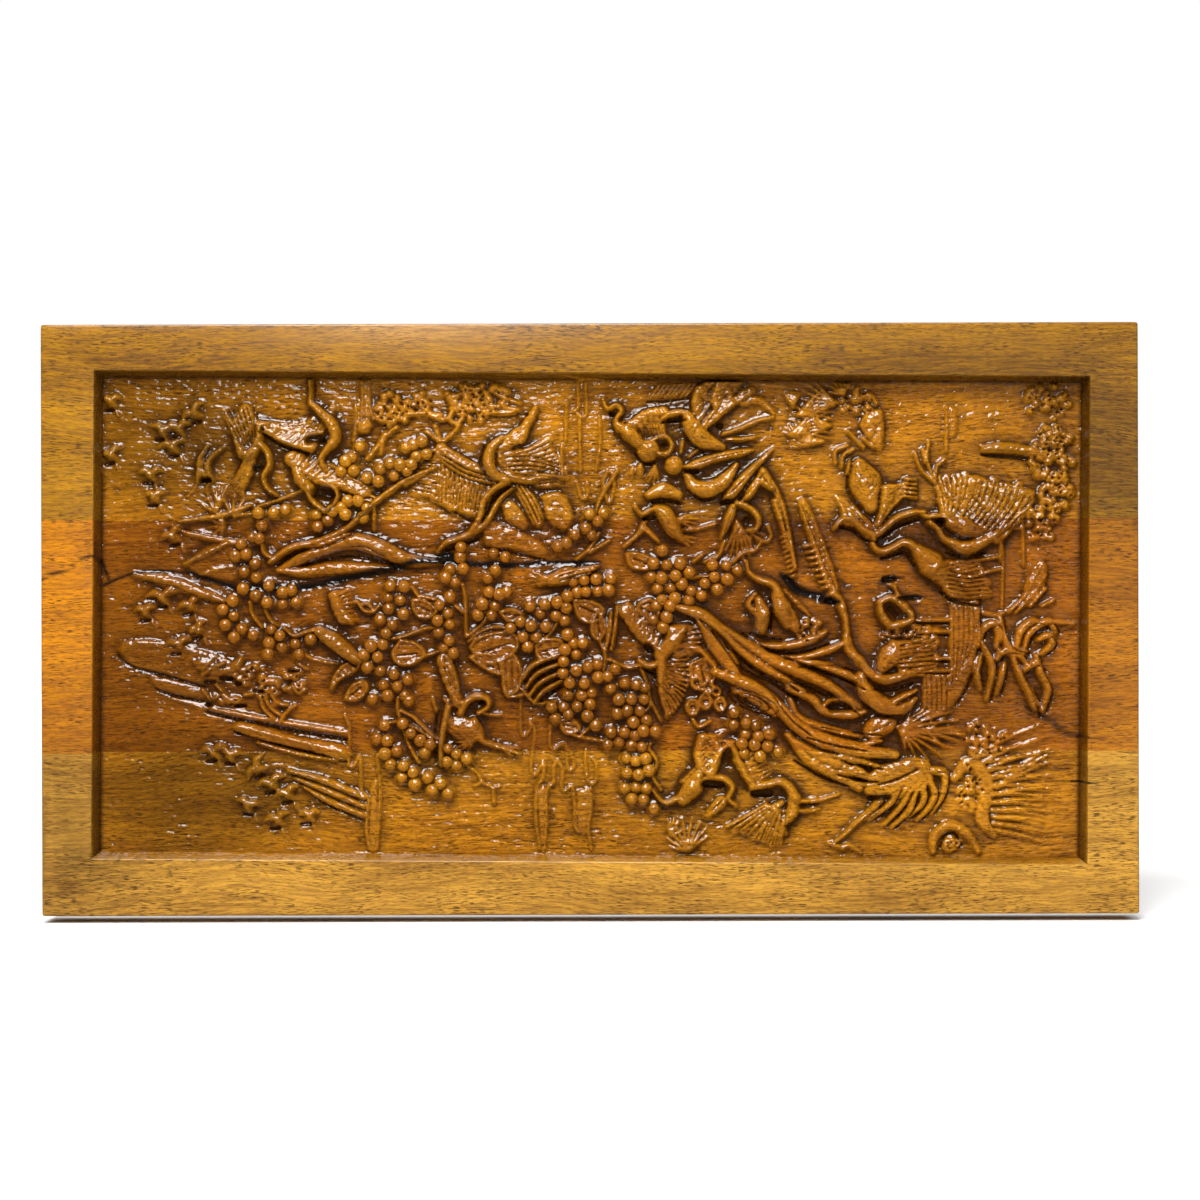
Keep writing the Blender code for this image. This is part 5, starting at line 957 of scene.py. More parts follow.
def carveCranesEast(c):
    # the standing and feeding cranes at the right
    c.plate(((862, 424), (868, 412), (884, 408), (887, 428), (884, 450), (872, 442)), 0.36, 6)
    c.roughen(((866, 418), (876, 412), (882, 424)), 2)
    c.lines((((838, 462), (838, 450), (850, 444)), ((844, 466), (846, 454), (856, 448)), ((850, 472), (852, 460)),
             ((864, 436), (876, 446)), ((850, 430), (866, 446))), 4, 0.42)
    c.ridge(((862, 464), (868, 482), (874, 506)), (14, 34, 16), (0.5, 0.66, 0.5))
    c.groove(((850, 474), (852, 492), (864, 510)), (3, 5, 3), 0.2)
    c.wing(((880, 524), (886, 508), (888, 488)), (58, 16), (44, 28), 0.5, 7)
    for line in drifting(5, ((908, 478), (919, 479)), ((0, 4.4), (0, 4.4))):
        c.ridge(line, 2.6, 0.6)
    c.wing(((850, 520), (862, 522), (874, 532)), (110, 130), (24, 20), 0.4, 6)
    c.ridge(((928, 511), (914, 512), (898, 518), (886, 528), (877, 534), (866, 530), (856, 521),
             (845, 519), (836, 528)), (3, 6, 7, 8, 9, 8, 7, 7, 5), 0.74)
    c.groove(((842, 526), (856, 530), (866, 538), (878, 542)), (3, 4, 3), 0.24)
    c.groove(((886, 536), (900, 526), (922, 518)), (3, 4, 3), 0.24)
    c.ridge(((876, 536), (876, 546), (884, 551), (896, 547), (906, 542), (916, 546), (926, 558)),
            (7, 7, 7, 7, 8, 10, 14), (0.7, 0.76, 0.76, 0.76, 0.8, 0.9, 0.95))
    c.groove(((884, 558), (898, 554), (908, 552), (918, 566)), (3, 4, 4, 3), 0.24)
    c.ridge(((920, 550), (934, 564), (948, 578)), (14, 28, 20), (0.95, 1, 0.7))
    c.roughen(((934, 558), (942, 566), (938, 572)), 1.6)
    c.wing(((934, 566), (944, 578), (954, 592)), (10, -8), (44, 40), 0.56, 7)
    for line in drifting(7, ((948, 570), (968, 574), (988, 572)), ((1, 4.6), (0, 4.4), (-1, 4.6))):
        c.groove(line, 2, 0.14)
    c.groove(((944, 592), (960, 602), (984, 606)), (3, 5, 4), 0.24)
    c.lines((((960, 562), (980, 560), (1004, 556)), ((984, 573), (1004, 569)), ((1004, 530), (1004, 560))), 3.4, 0.4)
    c.plate(((944, 500), (956, 480), (980, 474), (1004, 484), (1034, 488), (1038, 498), (1012, 524),
             (990, 534), (966, 520)), 0.4, 8)
    c.wing(((962, 520), (980, 524), (1000, 538)), (66, 44), (44, 56), 0.5, 8)
    c.wing(((946, 512), (952, 514), (960, 518)), (98, 70), (34, 44), 0.36, 5)
    for line in drifting(9, ((966, 516), (980, 500), (986, 480)), ((5, 2.4), (5.6, 1.6), (6, 2))):
        c.groove(line, 2.2, 0.14)
    c.ridge(((952, 522), (968, 526), (984, 534)), (14, 26, 12), (0.7, 0.85, 0.6))
    c.pit((944, 522), 10, 30, 10, 0.42)
    c.ridge(((920, 510), (930, 516), (938, 515), (950, 517)), (3, 6, 6, 5), 0.6)
    c.ridge(((932, 522), (940, 528), (946, 538), (956, 543)), (7, 7, 8, 10), 0.78)
    c.ridge(((952, 541), (966, 547), (982, 543), (1004, 530), (1030, 508)), (9, 15, 14, 9, 4),
            (0.8, 0.85, 0.85, 0.7, 0.5))
    c.groove(((950, 552), (968, 558), (988, 552)), (3, 5, 3), 0.24)
    c.lines((((918, 452), (924, 468), (936, 480)), ((932, 440), (930, 458), (936, 476)),
             ((948, 458), (940, 466), (938, 482)), ((926, 448), (928, 462))), 3.8, 0.4)
    c.pit((892, 579), 16, 4, 8, 0.4)
    c.ridge(((897, 586), (900, 594), (908, 606)), (4, 5, 8), 0.5)
    c.pit((912, 598), 26, 2, 5, 0.24)
    c.ridge(((882, 602), (884, 614), (892, 625), (904, 624), (915, 618), (906, 606), (894, 598), (882, 602)),
            (6, 9, 9, 8, 6, 9, 8, 6), 0.66)
    c.pit((897, 613), 18, -45, 6, 0.26)
    c.tuft((910, 634), (56, 18), 16, 8, 0.4, 11)
    c.groove(((884, 636), (902, 640), (924, 638)), (3, 4, 3), 0.2)
    c.ridge(((848, 636), (850, 650), (862, 661), (872, 674), (886, 680), (906, 676), (926, 670)),
            (7, 8, 10, 11, 12, 9, 4), (0.6, 0.7, 0.76, 0.8, 0.8, 0.7, 0.5))
    c.ridge(((884, 668), (894, 656), (910, 650)), (14, 26, 22), (0.7, 0.9, 0.7))
    c.wing(((896, 646), (902, 658), (906, 672)), (14, -2), (44, 32), 0.6, 7)
    for line in drifting(6, ((902, 646), (920, 644), (938, 644)), ((0, 4.6), (0, 4.6), (0, 4.2))):
        c.groove(line, 2, 0.14)
    for v in (620, 632, 659, 671):
        c.groove(((920, v + 3), (952, v + 3)), 3, 0.16)
        c.ridge(((920, v + 1), (953, v)), 3, 0.36)
    c.groove(((876, 690), (896, 690), (916, 684)), (3, 5, 3), 0.24)
    c.ridge(((862, 676), (870, 694), (886, 707), (904, 709), (918, 700)), (10, 20, 21, 16, 6),
            (0.7, 0.95, 0.95, 0.8, 0.5))
    c.roughen(((876, 688), (882, 694), (872, 684)), 1.6)
    c.ridge(((894, 703), (906, 697), (920, 691)), (6, 7, 2), 0.66)
    c.groove(((898, 706), (912, 701)), 2.6, 0.2)
    c.groove(((868, 706), (884, 716), (904, 716)), (3, 5, 3), 0.24)


def carveCranesVine(c):
    # the crane with both wings open beside the berries
    c.wing(((660, 650), (645, 636), (628, 612)), (66, 84), (22, 8), 0.46, 6)
    for line in drifting(7, ((622, 606), (632, 620), (640, 636)), ((6, 1.5), (5, 2), (3.4, 1.6))):
        c.ridge(line, 3.2, 0.44)
    c.roughen(((630, 640), (638, 646), (646, 640), (634, 650)), 1.8)
    c.wing(((674, 632), (678, 642), (676, 652)), (12, -2), (28, 24), 0.5, 6)
    for line in drifting(6, ((684, 626), (702, 629)), ((0, 5), (0, 4.6))):
        c.ridge(line, 2.8, 0.46)
    c.wing(((662, 656), (665, 672), (662, 690)), (20, -76), (26, 26), 0.5, 10)
    for k in range(16):
        root = Vector((664, 660 + 2.2 * k))
        c.ridge((root + heading(24 - 7 * k, 15), root + heading(24 - 7 * k, 27)), 2.6, 0.46)
    c.ridge(((684, 630), (674, 642), (662, 656)), (9, 20, 15), (0.8, 1, 0.8))
    c.ridge(((662, 652), (663, 668), (661, 684)), (12, 13, 8), 0.78)
    c.ridge(((662, 658), (656, 665), (648, 666), (640, 661)), (8, 7, 7, 4), 0.7)
    c.pit((650, 648), 14, -40, 9, 0.42)
    c.pit((654, 660), 6, 0, 4, 0.2)
    c.groove(((640, 668), (654, 674), (660, 686)), (3, 4, 3), 0.24)
    c.ridge(((684, 648), (700, 650), (712, 662), (722, 674)), (4, 5, 5, 4), 0.56)
    # the lower pair below the trunk
    c.wing(((704, 772), (700, 756), (704, 740)), (52, 12), (18, 24), 0.5, 6)
    c.plate(((700, 742), (712, 738), (724, 744), (722, 764), (716, 780), (704, 772)), 0.5, 6)
    c.ridge(((702, 770), (712, 774), (717, 762), (724, 750), (732, 746), (738, 756), (746, 774), (756, 788)),
            (8, 13, 8, 5, 6, 7, 8, 9), (0.6, 0.8, 0.6, 0.6, 0.7, 0.7, 0.7, 0.7))
    c.pit((728, 762), 14, 80, 10, 0.26)
    c.wing(((742, 760), (748, 774), (756, 784)), (26, 12), (22, 20), 0.4, 4)
    c.ridge(((754, 788), (768, 786), (780, 783), (790, 788), (797, 800)), (9, 8, 8, 10, 13),
            (0.7, 0.74, 0.76, 0.8, 0.8))
    c.pit((764, 795), 24, 2, 9, 0.34)
    c.ridge(((796, 800), (794, 814), (784, 826)), (14, 14, 8), 0.6)
    c.wing(((784, 804), (778, 812), (784, 830)), (206, 262), (54, 18), 0.42, 6)
    for line in drifting(8, ((768, 806), (752, 816), (728, 829)), ((3, 1), (4.6, 1.5), (8.6, 1))):
        c.ridge(line, 3.2, 0.4)
    for line in drifting(8, ((766, 809), (738, 826)), ((3, 1), (7, 1.5))):
        c.groove(line, 2, 0.12)
    c.lines((((798, 803), (820, 802), (842, 796)), ((796, 812), (810, 813), (822, 811))), (5, 4, 3), 0.4)
    c.groove(((800, 807), (822, 806)), 2.6, 0.14)
    c.ridge(((700, 776), (694, 788), (684, 800)), (12, 22, 15), (0.8, 1, 0.7))
    c.ridge(((688, 802), (678, 800), (670, 804), (662, 802), (654, 792)), (8, 6, 6, 5, 3), 0.66)
    c.ridge(((682, 784), (690, 776), (696, 770)), 3.4, 0.4)
    c.pit((714, 786), 26, -4, 8, 0.34)
    c.ridge(((704, 780), (716, 778), (728, 782), (734, 790), (730, 800), (738, 808)), (8, 7, 7, 6, 5, 3), 0.6)
    c.plate(((704, 818), (718, 800), (726, 798), (728, 806), (712, 820)), 0.42, 4)
    c.groove(((708, 816), (724, 802)), 2, 0.14)


def drawFaults(c):
    # the crack filled with dark resin, the open knot and the small checks
    crack = (
        (100, 585), (116, 578), (130, 573), (154, 571), (180, 572), (200, 577), (220, 584), (240, 589),
        (262, 587), (290, 588), (318, 584), (345, 578), (372, 572), (400, 566), (416, 561), (438, 561),
        (475, 564), (507, 565), (531, 564), (560, 562), (600, 562),
    )
    c.draw("resin", crack, (5, 4.5, 5, 9, 15, 13, 13, 10, 12, 11, 5), 1)
    c.draw("resin", ((436, 557), (446, 555), (458, 558)), (8, 15, 7), 1)
    c.groove(crack, (4, 4, 6, 9, 10, 9, 8, 8, 7, 4), 0.02)
    c.draw("resin", ((783, 574), (792, 582), (800, 590), (812, 594), (824, 598), (840, 602)),
           (9, 16, 18, 13, 17, 9), 1)
    c.groove(((788, 578), (800, 590), (826, 598), (838, 602)), (8, 12, 12, 6), 0.2)
    c.draw("resin", ((846, 582), (850, 588), (857, 586)), (5, 7, 3), 0.8)
    c.draw("resin", ((884, 583), (892, 578), (908, 578)), (10, 9, 3), 0.9)
    c.draw("resin", ((890, 586), (896, 592)), (8, 5), 0.8)
    c.draw("resin", ((904, 600), (916, 597), (930, 597)), (6, 9, 3), 0.8)
    c.draw("resin", ((1030, 708), (1043, 716), (1056, 722), (1064, 730), (1074, 735), (1090, 737)),
           (5, 9, 11, 10, 8, 6), 0.75)
    for a, b in (((1044, 770), (1074, 770)), ((1050, 783), (1094, 783)), ((936, 795), (958, 795))):
        c.draw("resin", (a, b), 3, 0.7)


def makeCarving():
    c = Carving()
    for carve in (
        carveLand, carveSmallBirds, carveClouds, carveRocks, carvePines, carveTrunks,
        carveVines, carveCranesWest, carveCraneCentre, carveCranesCrowded,
        carveCranesEast, carveCranesVine, carveBerries,
    ):
        carve(c)
    drawFaults(c)
    return c


def finishCarving(c):
    # figures, then the floor around them, then the marks of the tools
    skirt = np.maximum(*(blurred(c.height, spread) * share for spread, share in relief["skirts"]))
    figures = blurred(np.maximum(c.height, skirt), relief["soften"])
    mass = blurred((c.height > 0.1).astype(float), 9)
    edge = np.clip(mass * (1 - mass) * 4, 0, 1) * (c.height < 0.1)
    setDown = blurred(edge, 2) * relief["settingDown"] / reliefHeight
    shape = figures.shape
    fibre = grainNoise(shape, 16, 2.2, 11) * 0.6 + grainNoise(shape, 7, 1.6, 12) * 0.4
    hammer = grainNoise(shape, 4.5, 3.5, 13) * 0.6 + grainNoise(shape, 2.6, 2.2, 14) * 0.4
    swell = grainNoise(shape, 60, 26, 15)
    chips = np.clip(grainNoise(shape, 11, 2.0, 16) - 0.25, 0, 1) * np.clip(0.6 + swell, 0, 1)
    texture = fibre * relief["fibre"] + swell * relief["swell"] - chips * relief["chips"]
    texture += hammer * relief["toolMarks"] * (0.7 + c.rough)
    side = np.clip(0.5 + 2.5 * swell, 0, 1)
    first, second = (slantNoise(c, turn, seed) for turn, seed in zip(relief["plumageTurns"], (21, 22)))
    plumage = first * side + second * (1 - side)
    texture += plumage * relief["plumage"] * np.clip(blurred(c.height, 1.5) * 3.2 - 0.1, 0, 1)
    c.surface = figures - setDown - c.cut + texture / reliefHeight
    # painted shade and stain settle in what lies low, wear and painted highlight show on what stands proud
    near = blurred(c.surface, 2.6)
    wide = blurred(near, 8)
    fine = np.clip((near - c.surface) * 13, 0, 1)
    dark = fine * 0.82 + np.clip((wide - near) * 6, 0, 1) * 0.8 + 0.1 * mass
    c.hollow = np.clip(dark + blurred(c.stainAndShade, 0.8), 0, 1)
    c.crest = np.clip((c.surface - near) * 5 + (near - wide) * 1.6, 0, 1)


def turned(x, z, angle):
    return x * math.cos(angle) + z * math.sin(angle), z * math.cos(angle) - x * math.sin(angle)


def sheetPlace(x, z):
    x, z = turned(x - recessX, z - recessZ, -sheet["turn"])
    return sheet["u"] + x * sheet["width"] / recessWidth, sheet["v"] - z * sheet["height"] / recessHeight


def panelPlace(u, v):
    x = (u - sheet["u"]) * recessWidth / sheet["width"]
    z = (sheet["v"] - v) * recessHeight / sheet["height"]
    x, z = turned(x, z, sheet["turn"])
    return x + recessX, z + recessZ


def inset(x, z):
    # distance inside the field's upper edge, negative on the border
    x, z = turned(x - recessX, z - recessZ, -recess["turn"])
    return np.minimum(recessWidth / 2 - np.abs(x), recessHeight / 2 - np.abs(z))


def onLowerWall(x, z):
    # the wall that looks up to the lamps, so it gets less painted shade
    x, z = turned(x - recessX, z - recessZ, -recess["turn"])
    return recessHeight / 2 + z < recessWidth / 2 - np.abs(x)


def rimInset(x, z):
    # distance inside the slab's outline
    return np.minimum(panelWidth / 2 - np.abs(x), panelHeight / 2 - np.abs(z))


def readField(c, field, x, z):
    u, v = sheetPlace(x, z)
    rows, columns = field.shape
    i = np.clip((v - c.top) / c.step, 0, rows - 1.001)
    j = np.clip((u - c.left) / c.step, 0, columns - 1.001)
    row = np.floor(i).astype(int)
    column = np.floor(j).astype(int)
    return fourBlend(field, row, column, i - row, j - column)


# the crack and a small check run on over the border: sheet places and widths
borderCracks = (
    (((40, 582), (52, 574), (66, 570), (78, 562), (93, 556), (100, 566), (106, 582)), (2.4, 3.4, 3.0)),
    (((1076, 783), (1090, 783)), (1.8, 1.2)),
    (((1080, 737), (1092, 738), (1100, 739)), (2.2, 1.0)),
)


def resinAt(c, x, z):
    u, v = sheetPlace(x, z)
    beyond = (np.abs(u - sheet["u"]) > sheet["width"] / 2) | (np.abs(v - sheet["v"]) > sheet["height"] / 2)
    resin = np.where(beyond, 0, readField(c, c.resin, x, z))
    for points, widths in borderCracks:
        path = smoothPath(points)
        for a, b, width in zip(path, path[1:], along(widths, len(path) - 1)):
            run = b - a
            share = np.clip(((u - a.x) * run.x + (v - a.y) * run.y) / run.length_squared, 0, 1)
            away = np.hypot(u - a.x - share * run.x, v - a.y - share * run.y)
            resin = np.maximum(resin, np.clip(1.6 - 2 * away / width, 0, 1))
    return resin


def rounding(distance, radius):
    # how far an arris drops at a distance from the corner
    inside = np.clip(distance / radius, 0, 1)
    return radius * (1 - np.sqrt(1 - (1 - inside) ** 2))


def depthAt(c, x, z):
    inside = inset(x, z)
    draft = recess["draft"]
    fade = np.clip((inside - draft) / relief["fade"], 0, 1)
    floor = recess["depth"] - readField(c, c.surface, x, z) * reliefHeight * fade
    wall = recess["depth"] * np.clip(inside / draft, 0, 1)
    depth = np.where(inside >= draft, floor, wall)
    soft = rounding(-inside, recess["softEdge"]) * 0.6
    depth = np.where(inside < 0, soft, np.maximum(depth, recess["softEdge"] * 0.6))
    depth = depth + rounding(rimInset(x, z), recess["outerEdge"])
    return depth + resinAt(c, x, z) * relief["resin"]


def edgeLines():
    # the field's four upper edges: x on the side edges for a z, z on the others for an x
    slope = math.tan(recess["turn"])
    halfWidth = recessWidth / 2
    halfHeight = recessHeight / 2
    sine, cosine = math.sin(recess["turn"]), math.cos(recess["turn"])

    def sideEdge(side, z):
        return recessX + side * halfWidth * cosine + (z - recessZ + side * halfWidth * sine) * slope

    def levelEdge(up, x):
        return recessZ + up * halfHeight * cosine - (x - recessX - up * halfHeight * sine) * slope

    return sideEdge, levelEdge


def cellsIn(length, cell):
    return max(2, int(round(length / cell)))


def borderShares(width):
    # shares from the slab's rim to the field's edge, closer together at both arrises
    shares = [f * recess["outerEdge"] / width for f in (0, 0.12, 0.3, 0.55, 0.8, 1.0)]
    edge = [1 - recess["softEdge"] * k / width for k in (1.0, 0.66, 0.4, 0.2, 0.08, 0)]
    middle = list(np.linspace(shares[-1], edge[0], cellsIn(width, meshing["borderCell"]) + 1))[1:-1]
    return shares + middle + edge


def edgePlaces(side, width):
    # one side's border and wall, in the order of rising x or z; each place says its kind,
    # its side and its share of the border or its distance down the wall
    rows = meshing["wallRows"]
    places = [("border", side, share) for share in borderShares(width)]
    places += [("wall", side, recess["draft"] * k / rows) for k in range(1, rows + 1)]
    return places if side < 0 else places[::-1]


def columnPlaces():
    count = cellsIn(recessWidth - 2 * recess["draft"], meshing["cell"])
    floor = [("floor", 0, k / count) for k in range(1, count)]
    return edgePlaces(-1, recess["left"]) + floor + edgePlaces(1, recess["right"])


def rowPlaces(name, low, high):
    span = min(high, panelHigh.z - recess["top"]) - max(low, panelLow.z + recess["bottom"])
    count = cellsIn(span, meshing["cell"])
    first, last = 0, count
    below, above = [], []
    if name == "board_bottom":
        first, below = 1, edgePlaces(-1, recess["bottom"])
    if name == "board_top":
        last, above = count - 1, edgePlaces(1, recess["top"])
    return below + [("floor", 0, k / count) for k in range(first, last + 1)] + above


def gridPlaces(name, low, high):
    sideEdge, levelEdge = edgeLines()
    columns = columnPlaces()
    rows = rowPlaces(name, low, high)
    halfWidth = panelWidth / 2
    draft = recess["draft"]
    x = np.zeros((len(rows), len(columns)))
    z = np.zeros_like(x)
    for _ in range(4):
        for j, (kind, side, share) in enumerate(columns):
            if kind == "border":
                x[:, j] = side * halfWidth + share * (sideEdge(side, z[:, j]) - side * halfWidth)
            elif kind == "wall":
                x[:, j] = sideEdge(side, z[:, j]) - side * share
            else:
                left = sideEdge(-1, z[:, j]) + draft
                right = sideEdge(1, z[:, j]) - draft
                x[:, j] = left + share * (right - left)
        for i, (kind, up, share) in enumerate(rows):
            if kind == "border":
                rim = low if up < 0 else high
                z[i] = rim + share * (levelEdge(up, x[i]) - rim)
            elif kind == "wall":
                z[i] = levelEdge(up, x[i]) - up * share
            else:
                bottom = levelEdge(-1, x[i]) + draft if name == "board_bottom" else low
                top = levelEdge(1, x[i]) - draft if name == "board_top" else high
                z[i] = bottom + share * (top - bottom)
    return x, z


def roundCorners(x, z):
    # the slab's own corners, squares pressed into quarter rounds
    radius = recess["cornerRadius"]
    past = np.abs(x) - (panelWidth / 2 - radius)
    over = np.abs(z) - (panelHeight / 2 - radius)
    both = (past > 0) & (over > 0)
    share = np.where(both, np.maximum(past, over) / np.maximum(np.hypot(past, over), 1e-9), 1)
    x = np.where(both, np.sign(x) * (panelWidth / 2 - radius + past * share), x)
    z = np.where(both, np.sign(z) * (panelHeight / 2 - radius + over * share), z)
    return x, z


def boardMesh(name, c, low, high):
    x, z = gridPlaces(name, low, high)
    depth = depthAt(c, x, z)
    inside = inset(x, z)
    # the four channels of paint: dark hollows of stain and painted shade, resin, share of the field, crests lightened
    # for wear and as painted highlight
    paint = np.zeros(x.shape + (4,))
    # painted shade on the field's walls, lighter on the lower wall
    wallShade = np.clip(1.25 - np.abs(inside - 0.0018) / 0.0024, 0, 0.93)
    wallShade *= np.where(onLowerWall(x, z), 0.3, 1)
    hollow = np.maximum(readField(c, c.hollow, x, z), wallShade)
    paint[..., 0] = np.where(inside > 0, hollow, 0)
    paint[..., 1] = resinAt(c, x, z)
    paint[..., 2] = np.clip(inside / recess["draft"], 0, 1)
    paint[..., 3] = np.where(inside > 0, readField(c, c.crest, x, z), 0)
    u, v = sheetPlace(x, z)
    tone = np.zeros_like(x)
    for (uPlace, vPlace), (wide, tall), amount in tones:
        far = ((u - uPlace) / wide) ** 2 + ((v - vPlace) / tall) ** 2
        onBorder = inset(*panelPlace(uPlace, vPlace)) < 0
        tone += amount * np.exp(-far ** 2 * 0.7) * ((inside < recess["draft"]) == onBorder)
    x, z = roundCorners(x, z)
    y = panelLow.y + depth
    rows, columns = x.shape
    front = np.stack([x.ravel(), y.ravel(), z.ravel()], axis=1)
    index = np.arange(rows * columns).reshape(rows, columns)
    quads = np.stack([index[:-1, :-1].ravel(), index[:-1, 1:].ravel(),
                      index[1:, 1:].ravel(), index[1:, :-1].ravel()], axis=1)
    loop = np.concatenate([index[0, :], index[1:, -1], index[-1, -2::-1], index[-2:0:-1, 0]])
    back = front[loop].copy()
    back[:, 1] = panelHigh.y
    backIndex = len(front) + np.arange(len(loop))
    following = np.roll(np.arange(len(loop)), -1)
    sides = np.stack([loop[following], loop, backIndex, backIndex[following]], axis=1)
    faces = quads.tolist() + sides.tolist() + [backIndex[::-1].tolist()]
    mesh = bpy.data.meshes.new(name + "_carved")
    mesh.from_pydata(np.concatenate([front, back]).tolist(), [], faces)
    painted = np.concatenate([paint.reshape(-1, 4), np.zeros((len(back), 4))])
    layer = mesh.attributes.new("paint", "FLOAT_COLOR", "POINT")
    layer.data.foreach_set("color", painted.ravel())
    layer = mesh.attributes.new("tone", "FLOAT", "POINT")
    layer.data.foreach_set("value", np.concatenate([tone.ravel(), np.zeros(len(back))]))
    mesh.update()
    return mesh


def berryTree():
    # one berry on every point of the bunches, at the point's own size
    tree = bpy.data.node_groups.new("berries on the vine", "GeometryNodeTree")
    tree.interface.new_socket("Places", in_out="INPUT", socket_type="NodeSocketGeometry")
    tree.interface.new_socket("Segments", in_out="INPUT", socket_type="NodeSocketInt")
    tree.interface.new_socket("Rings", in_out="INPUT", socket_type="NodeSocketInt")
    tree.interface.new_socket("Wood", in_out="INPUT", socket_type="NodeSocketMaterial")
    tree.interface.new_socket("Berries", in_out="OUTPUT", socket_type="NodeSocketGeometry")
    nodes = tree.nodes
    links = tree.links
    start = nodes.new("NodeGroupInput")
    end = nodes.new("NodeGroupOutput")
    ball = nodes.new("GeometryNodeMeshUVSphere")
    ball.inputs["Radius"].default_value = 1.0
    size = nodes.new("GeometryNodeInputNamedAttribute")
    size.data_type = "FLOAT"
    size.inputs["Name"].default_value = "radius"
    turn = nodes.new("FunctionNodeRandomValue")
    turn.data_type = "FLOAT_VECTOR"
    turn.inputs["Min"].default_value = (0, 0, 0)
    turn.inputs["Max"].default_value = (math.tau, math.tau, math.tau)
    turn.inputs["Seed"].default_value = berry["seed"]
    place = nodes.new("GeometryNodeInstanceOnPoints")
    real = nodes.new("GeometryNodeRealizeInstances")
    cover = nodes.new("GeometryNodeSetMaterial")
    links.new(start.outputs["Places"], place.inputs["Points"])
    links.new(start.outputs["Segments"], ball.inputs["Segments"])
    links.new(start.outputs["Rings"], ball.inputs["Rings"])
    links.new(ball.outputs["Mesh"], place.inputs["Instance"])
    links.new(turn.outputs[0], place.inputs["Rotation"])
    links.new(size.outputs["Attribute"], place.inputs["Scale"])
    links.new(place.outputs["Instances"], real.inputs["Geometry"])
    links.new(real.outputs["Geometry"], cover.inputs["Geometry"])
    links.new(start.outputs["Wood"], cover.inputs["Material"])
    links.new(cover.outputs["Geometry"], end.inputs["Berries"])
    return tree


def setInput(modifier, tree, name, value):
    for item in tree.interface.items_tree:
        if item.item_type == "SOCKET" and item.in_out == "INPUT" and item.name == name:
            modifier[item.identifier] = value


def berryMesh(c, tree, material, low, high):
    # the berries of one board as a plain mesh
    unit = recessWidth / sheet["width"]
    places = []
    radii = []
    for spot, size, rise in c.berries:
        x, z = panelPlace(spot[0], spot[1])
        if not low <= z < high:
            continue
        radius = size / 2 * unit
        places.append((x, panelLow.y + recess["depth"] - rise * reliefHeight + radius, z))
        radii.append(radius)
    mesh = bpy.data.meshes.new("berry places")
    mesh.from_pydata(places, [], [])
    layer = mesh.attributes.new("radius", "FLOAT", "POINT")
    layer.data.foreach_set("value", radii)
    holder = bpy.data.objects.new("berry places", mesh)
    bpy.context.collection.objects.link(holder)
    modifier = holder.modifiers.new("berries", "NODES")
    modifier.node_group = tree
    setInput(modifier, tree, "Segments", berry["segments"])
    setInput(modifier, tree, "Rings", berry["rings"])
    setInput(modifier, tree, "Wood", material)
    bpy.context.view_layer.update()
    evaluated = holder.evaluated_get(bpy.context.evaluated_depsgraph_get())
    made = bpy.data.meshes.new_from_object(evaluated)
    bpy.data.objects.remove(holder)
    floor = panelLow.y + recess["depth"]
    count = len(made.vertices)
    heights = np.zeros(count * 3)
    made.vertices.foreach_get("co", heights)
    lift = np.clip((floor - heights[1::3]) / (0.55 * reliefHeight), 0, 1)
    paint = np.zeros((count, 4))    # painted shade at the foot, lighter at the top for wear and as painted highlight
    paint[:, 0] = 0.95 * (1 - lift)
    paint[:, 2] = 1
    paint[:, 3] = lift ** 3 * 0.5
    layer = made.attributes.new("paint", "FLOAT_COLOR", "POINT")
    layer.data.foreach_set("color", paint.ravel())
    return made


def thinned(mesh, name, triangles):
    # the same surface in fewer triangles, most of them where the carving is
    holder = bpy.data.objects.new(name, mesh)
    bpy.context.collection.objects.link(holder)
    total = sum(len(p.vertices) - 2 for p in mesh.polygons)
    if total > triangles:
        modifier = holder.modifiers.new("thin", "DECIMATE")
        modifier.ratio = triangles / total
    evaluated = holder.evaluated_get(bpy.context.evaluated_depsgraph_get())
    made = bpy.data.meshes.new_from_object(evaluated)
    bpy.data.objects.remove(holder)
    for vertex in made.vertices:  # thinning can push a corner out by a hair
        vertex.co.y = max(vertex.co.y, panelLow.y)
    return made


def joined(meshes, name, material):
    both = bmesh.new()
    for mesh in meshes:
        both.from_mesh(mesh)
    made = bpy.data.meshes.new(name)
    both.to_mesh(made)
    both.free()
    made.materials.append(material)
    made.polygons.foreach_set("material_index", [0] * len(made.polygons))
    made.shade_smooth()
    made.set_sharp_from_angle(angle=math.radians(62))
    piece = bpy.data.objects.new(name, made)
    bpy.context.collection.objects.link(piece)
    return piece


# the wood, as seen lacquered; light and dark are the two ends of its figure
wood = {
    "board_top": {
        "light": (0.370, 0.165, 0.0056), "dark": (0.105, 0.037, 0.0015),
        "fieldLight": (0.476, 0.183, 0.0056), "fieldDark": (0.140, 0.043, 0.0021), "shift": 0.0,
    },
    "board_middle": {
        "light": (0.560, 0.200, 0.0021), "dark": (0.220, 0.064, 0.0007),
        "fieldLight": (0.350, 0.108, 0.0035), "fieldDark": (0.105, 0.028, 0.0014), "shift": 3.1,
    },
    "board_bottom": {
        "light": (0.620, 0.310, 0.032), "dark": (0.200, 0.080, 0.0049),
        "fieldLight": (0.504, 0.199, 0.0063), "fieldDark": (0.154, 0.050, 0.0028), "shift": 7.7,
    },
    # stain and painted shade in the hollows, pits, berry gaps and on the walls
    "stainAndShade": (0.024, 0.007, 0.0005),
    "pore": (0.022, 0.007, 0.001),
    "resin": (0.005, 0.003, 0.002),
    # wear and painted highlight on the crests and the berry tops
    "wearAndHighlight": (0.60, 0.28, 0.02),
}

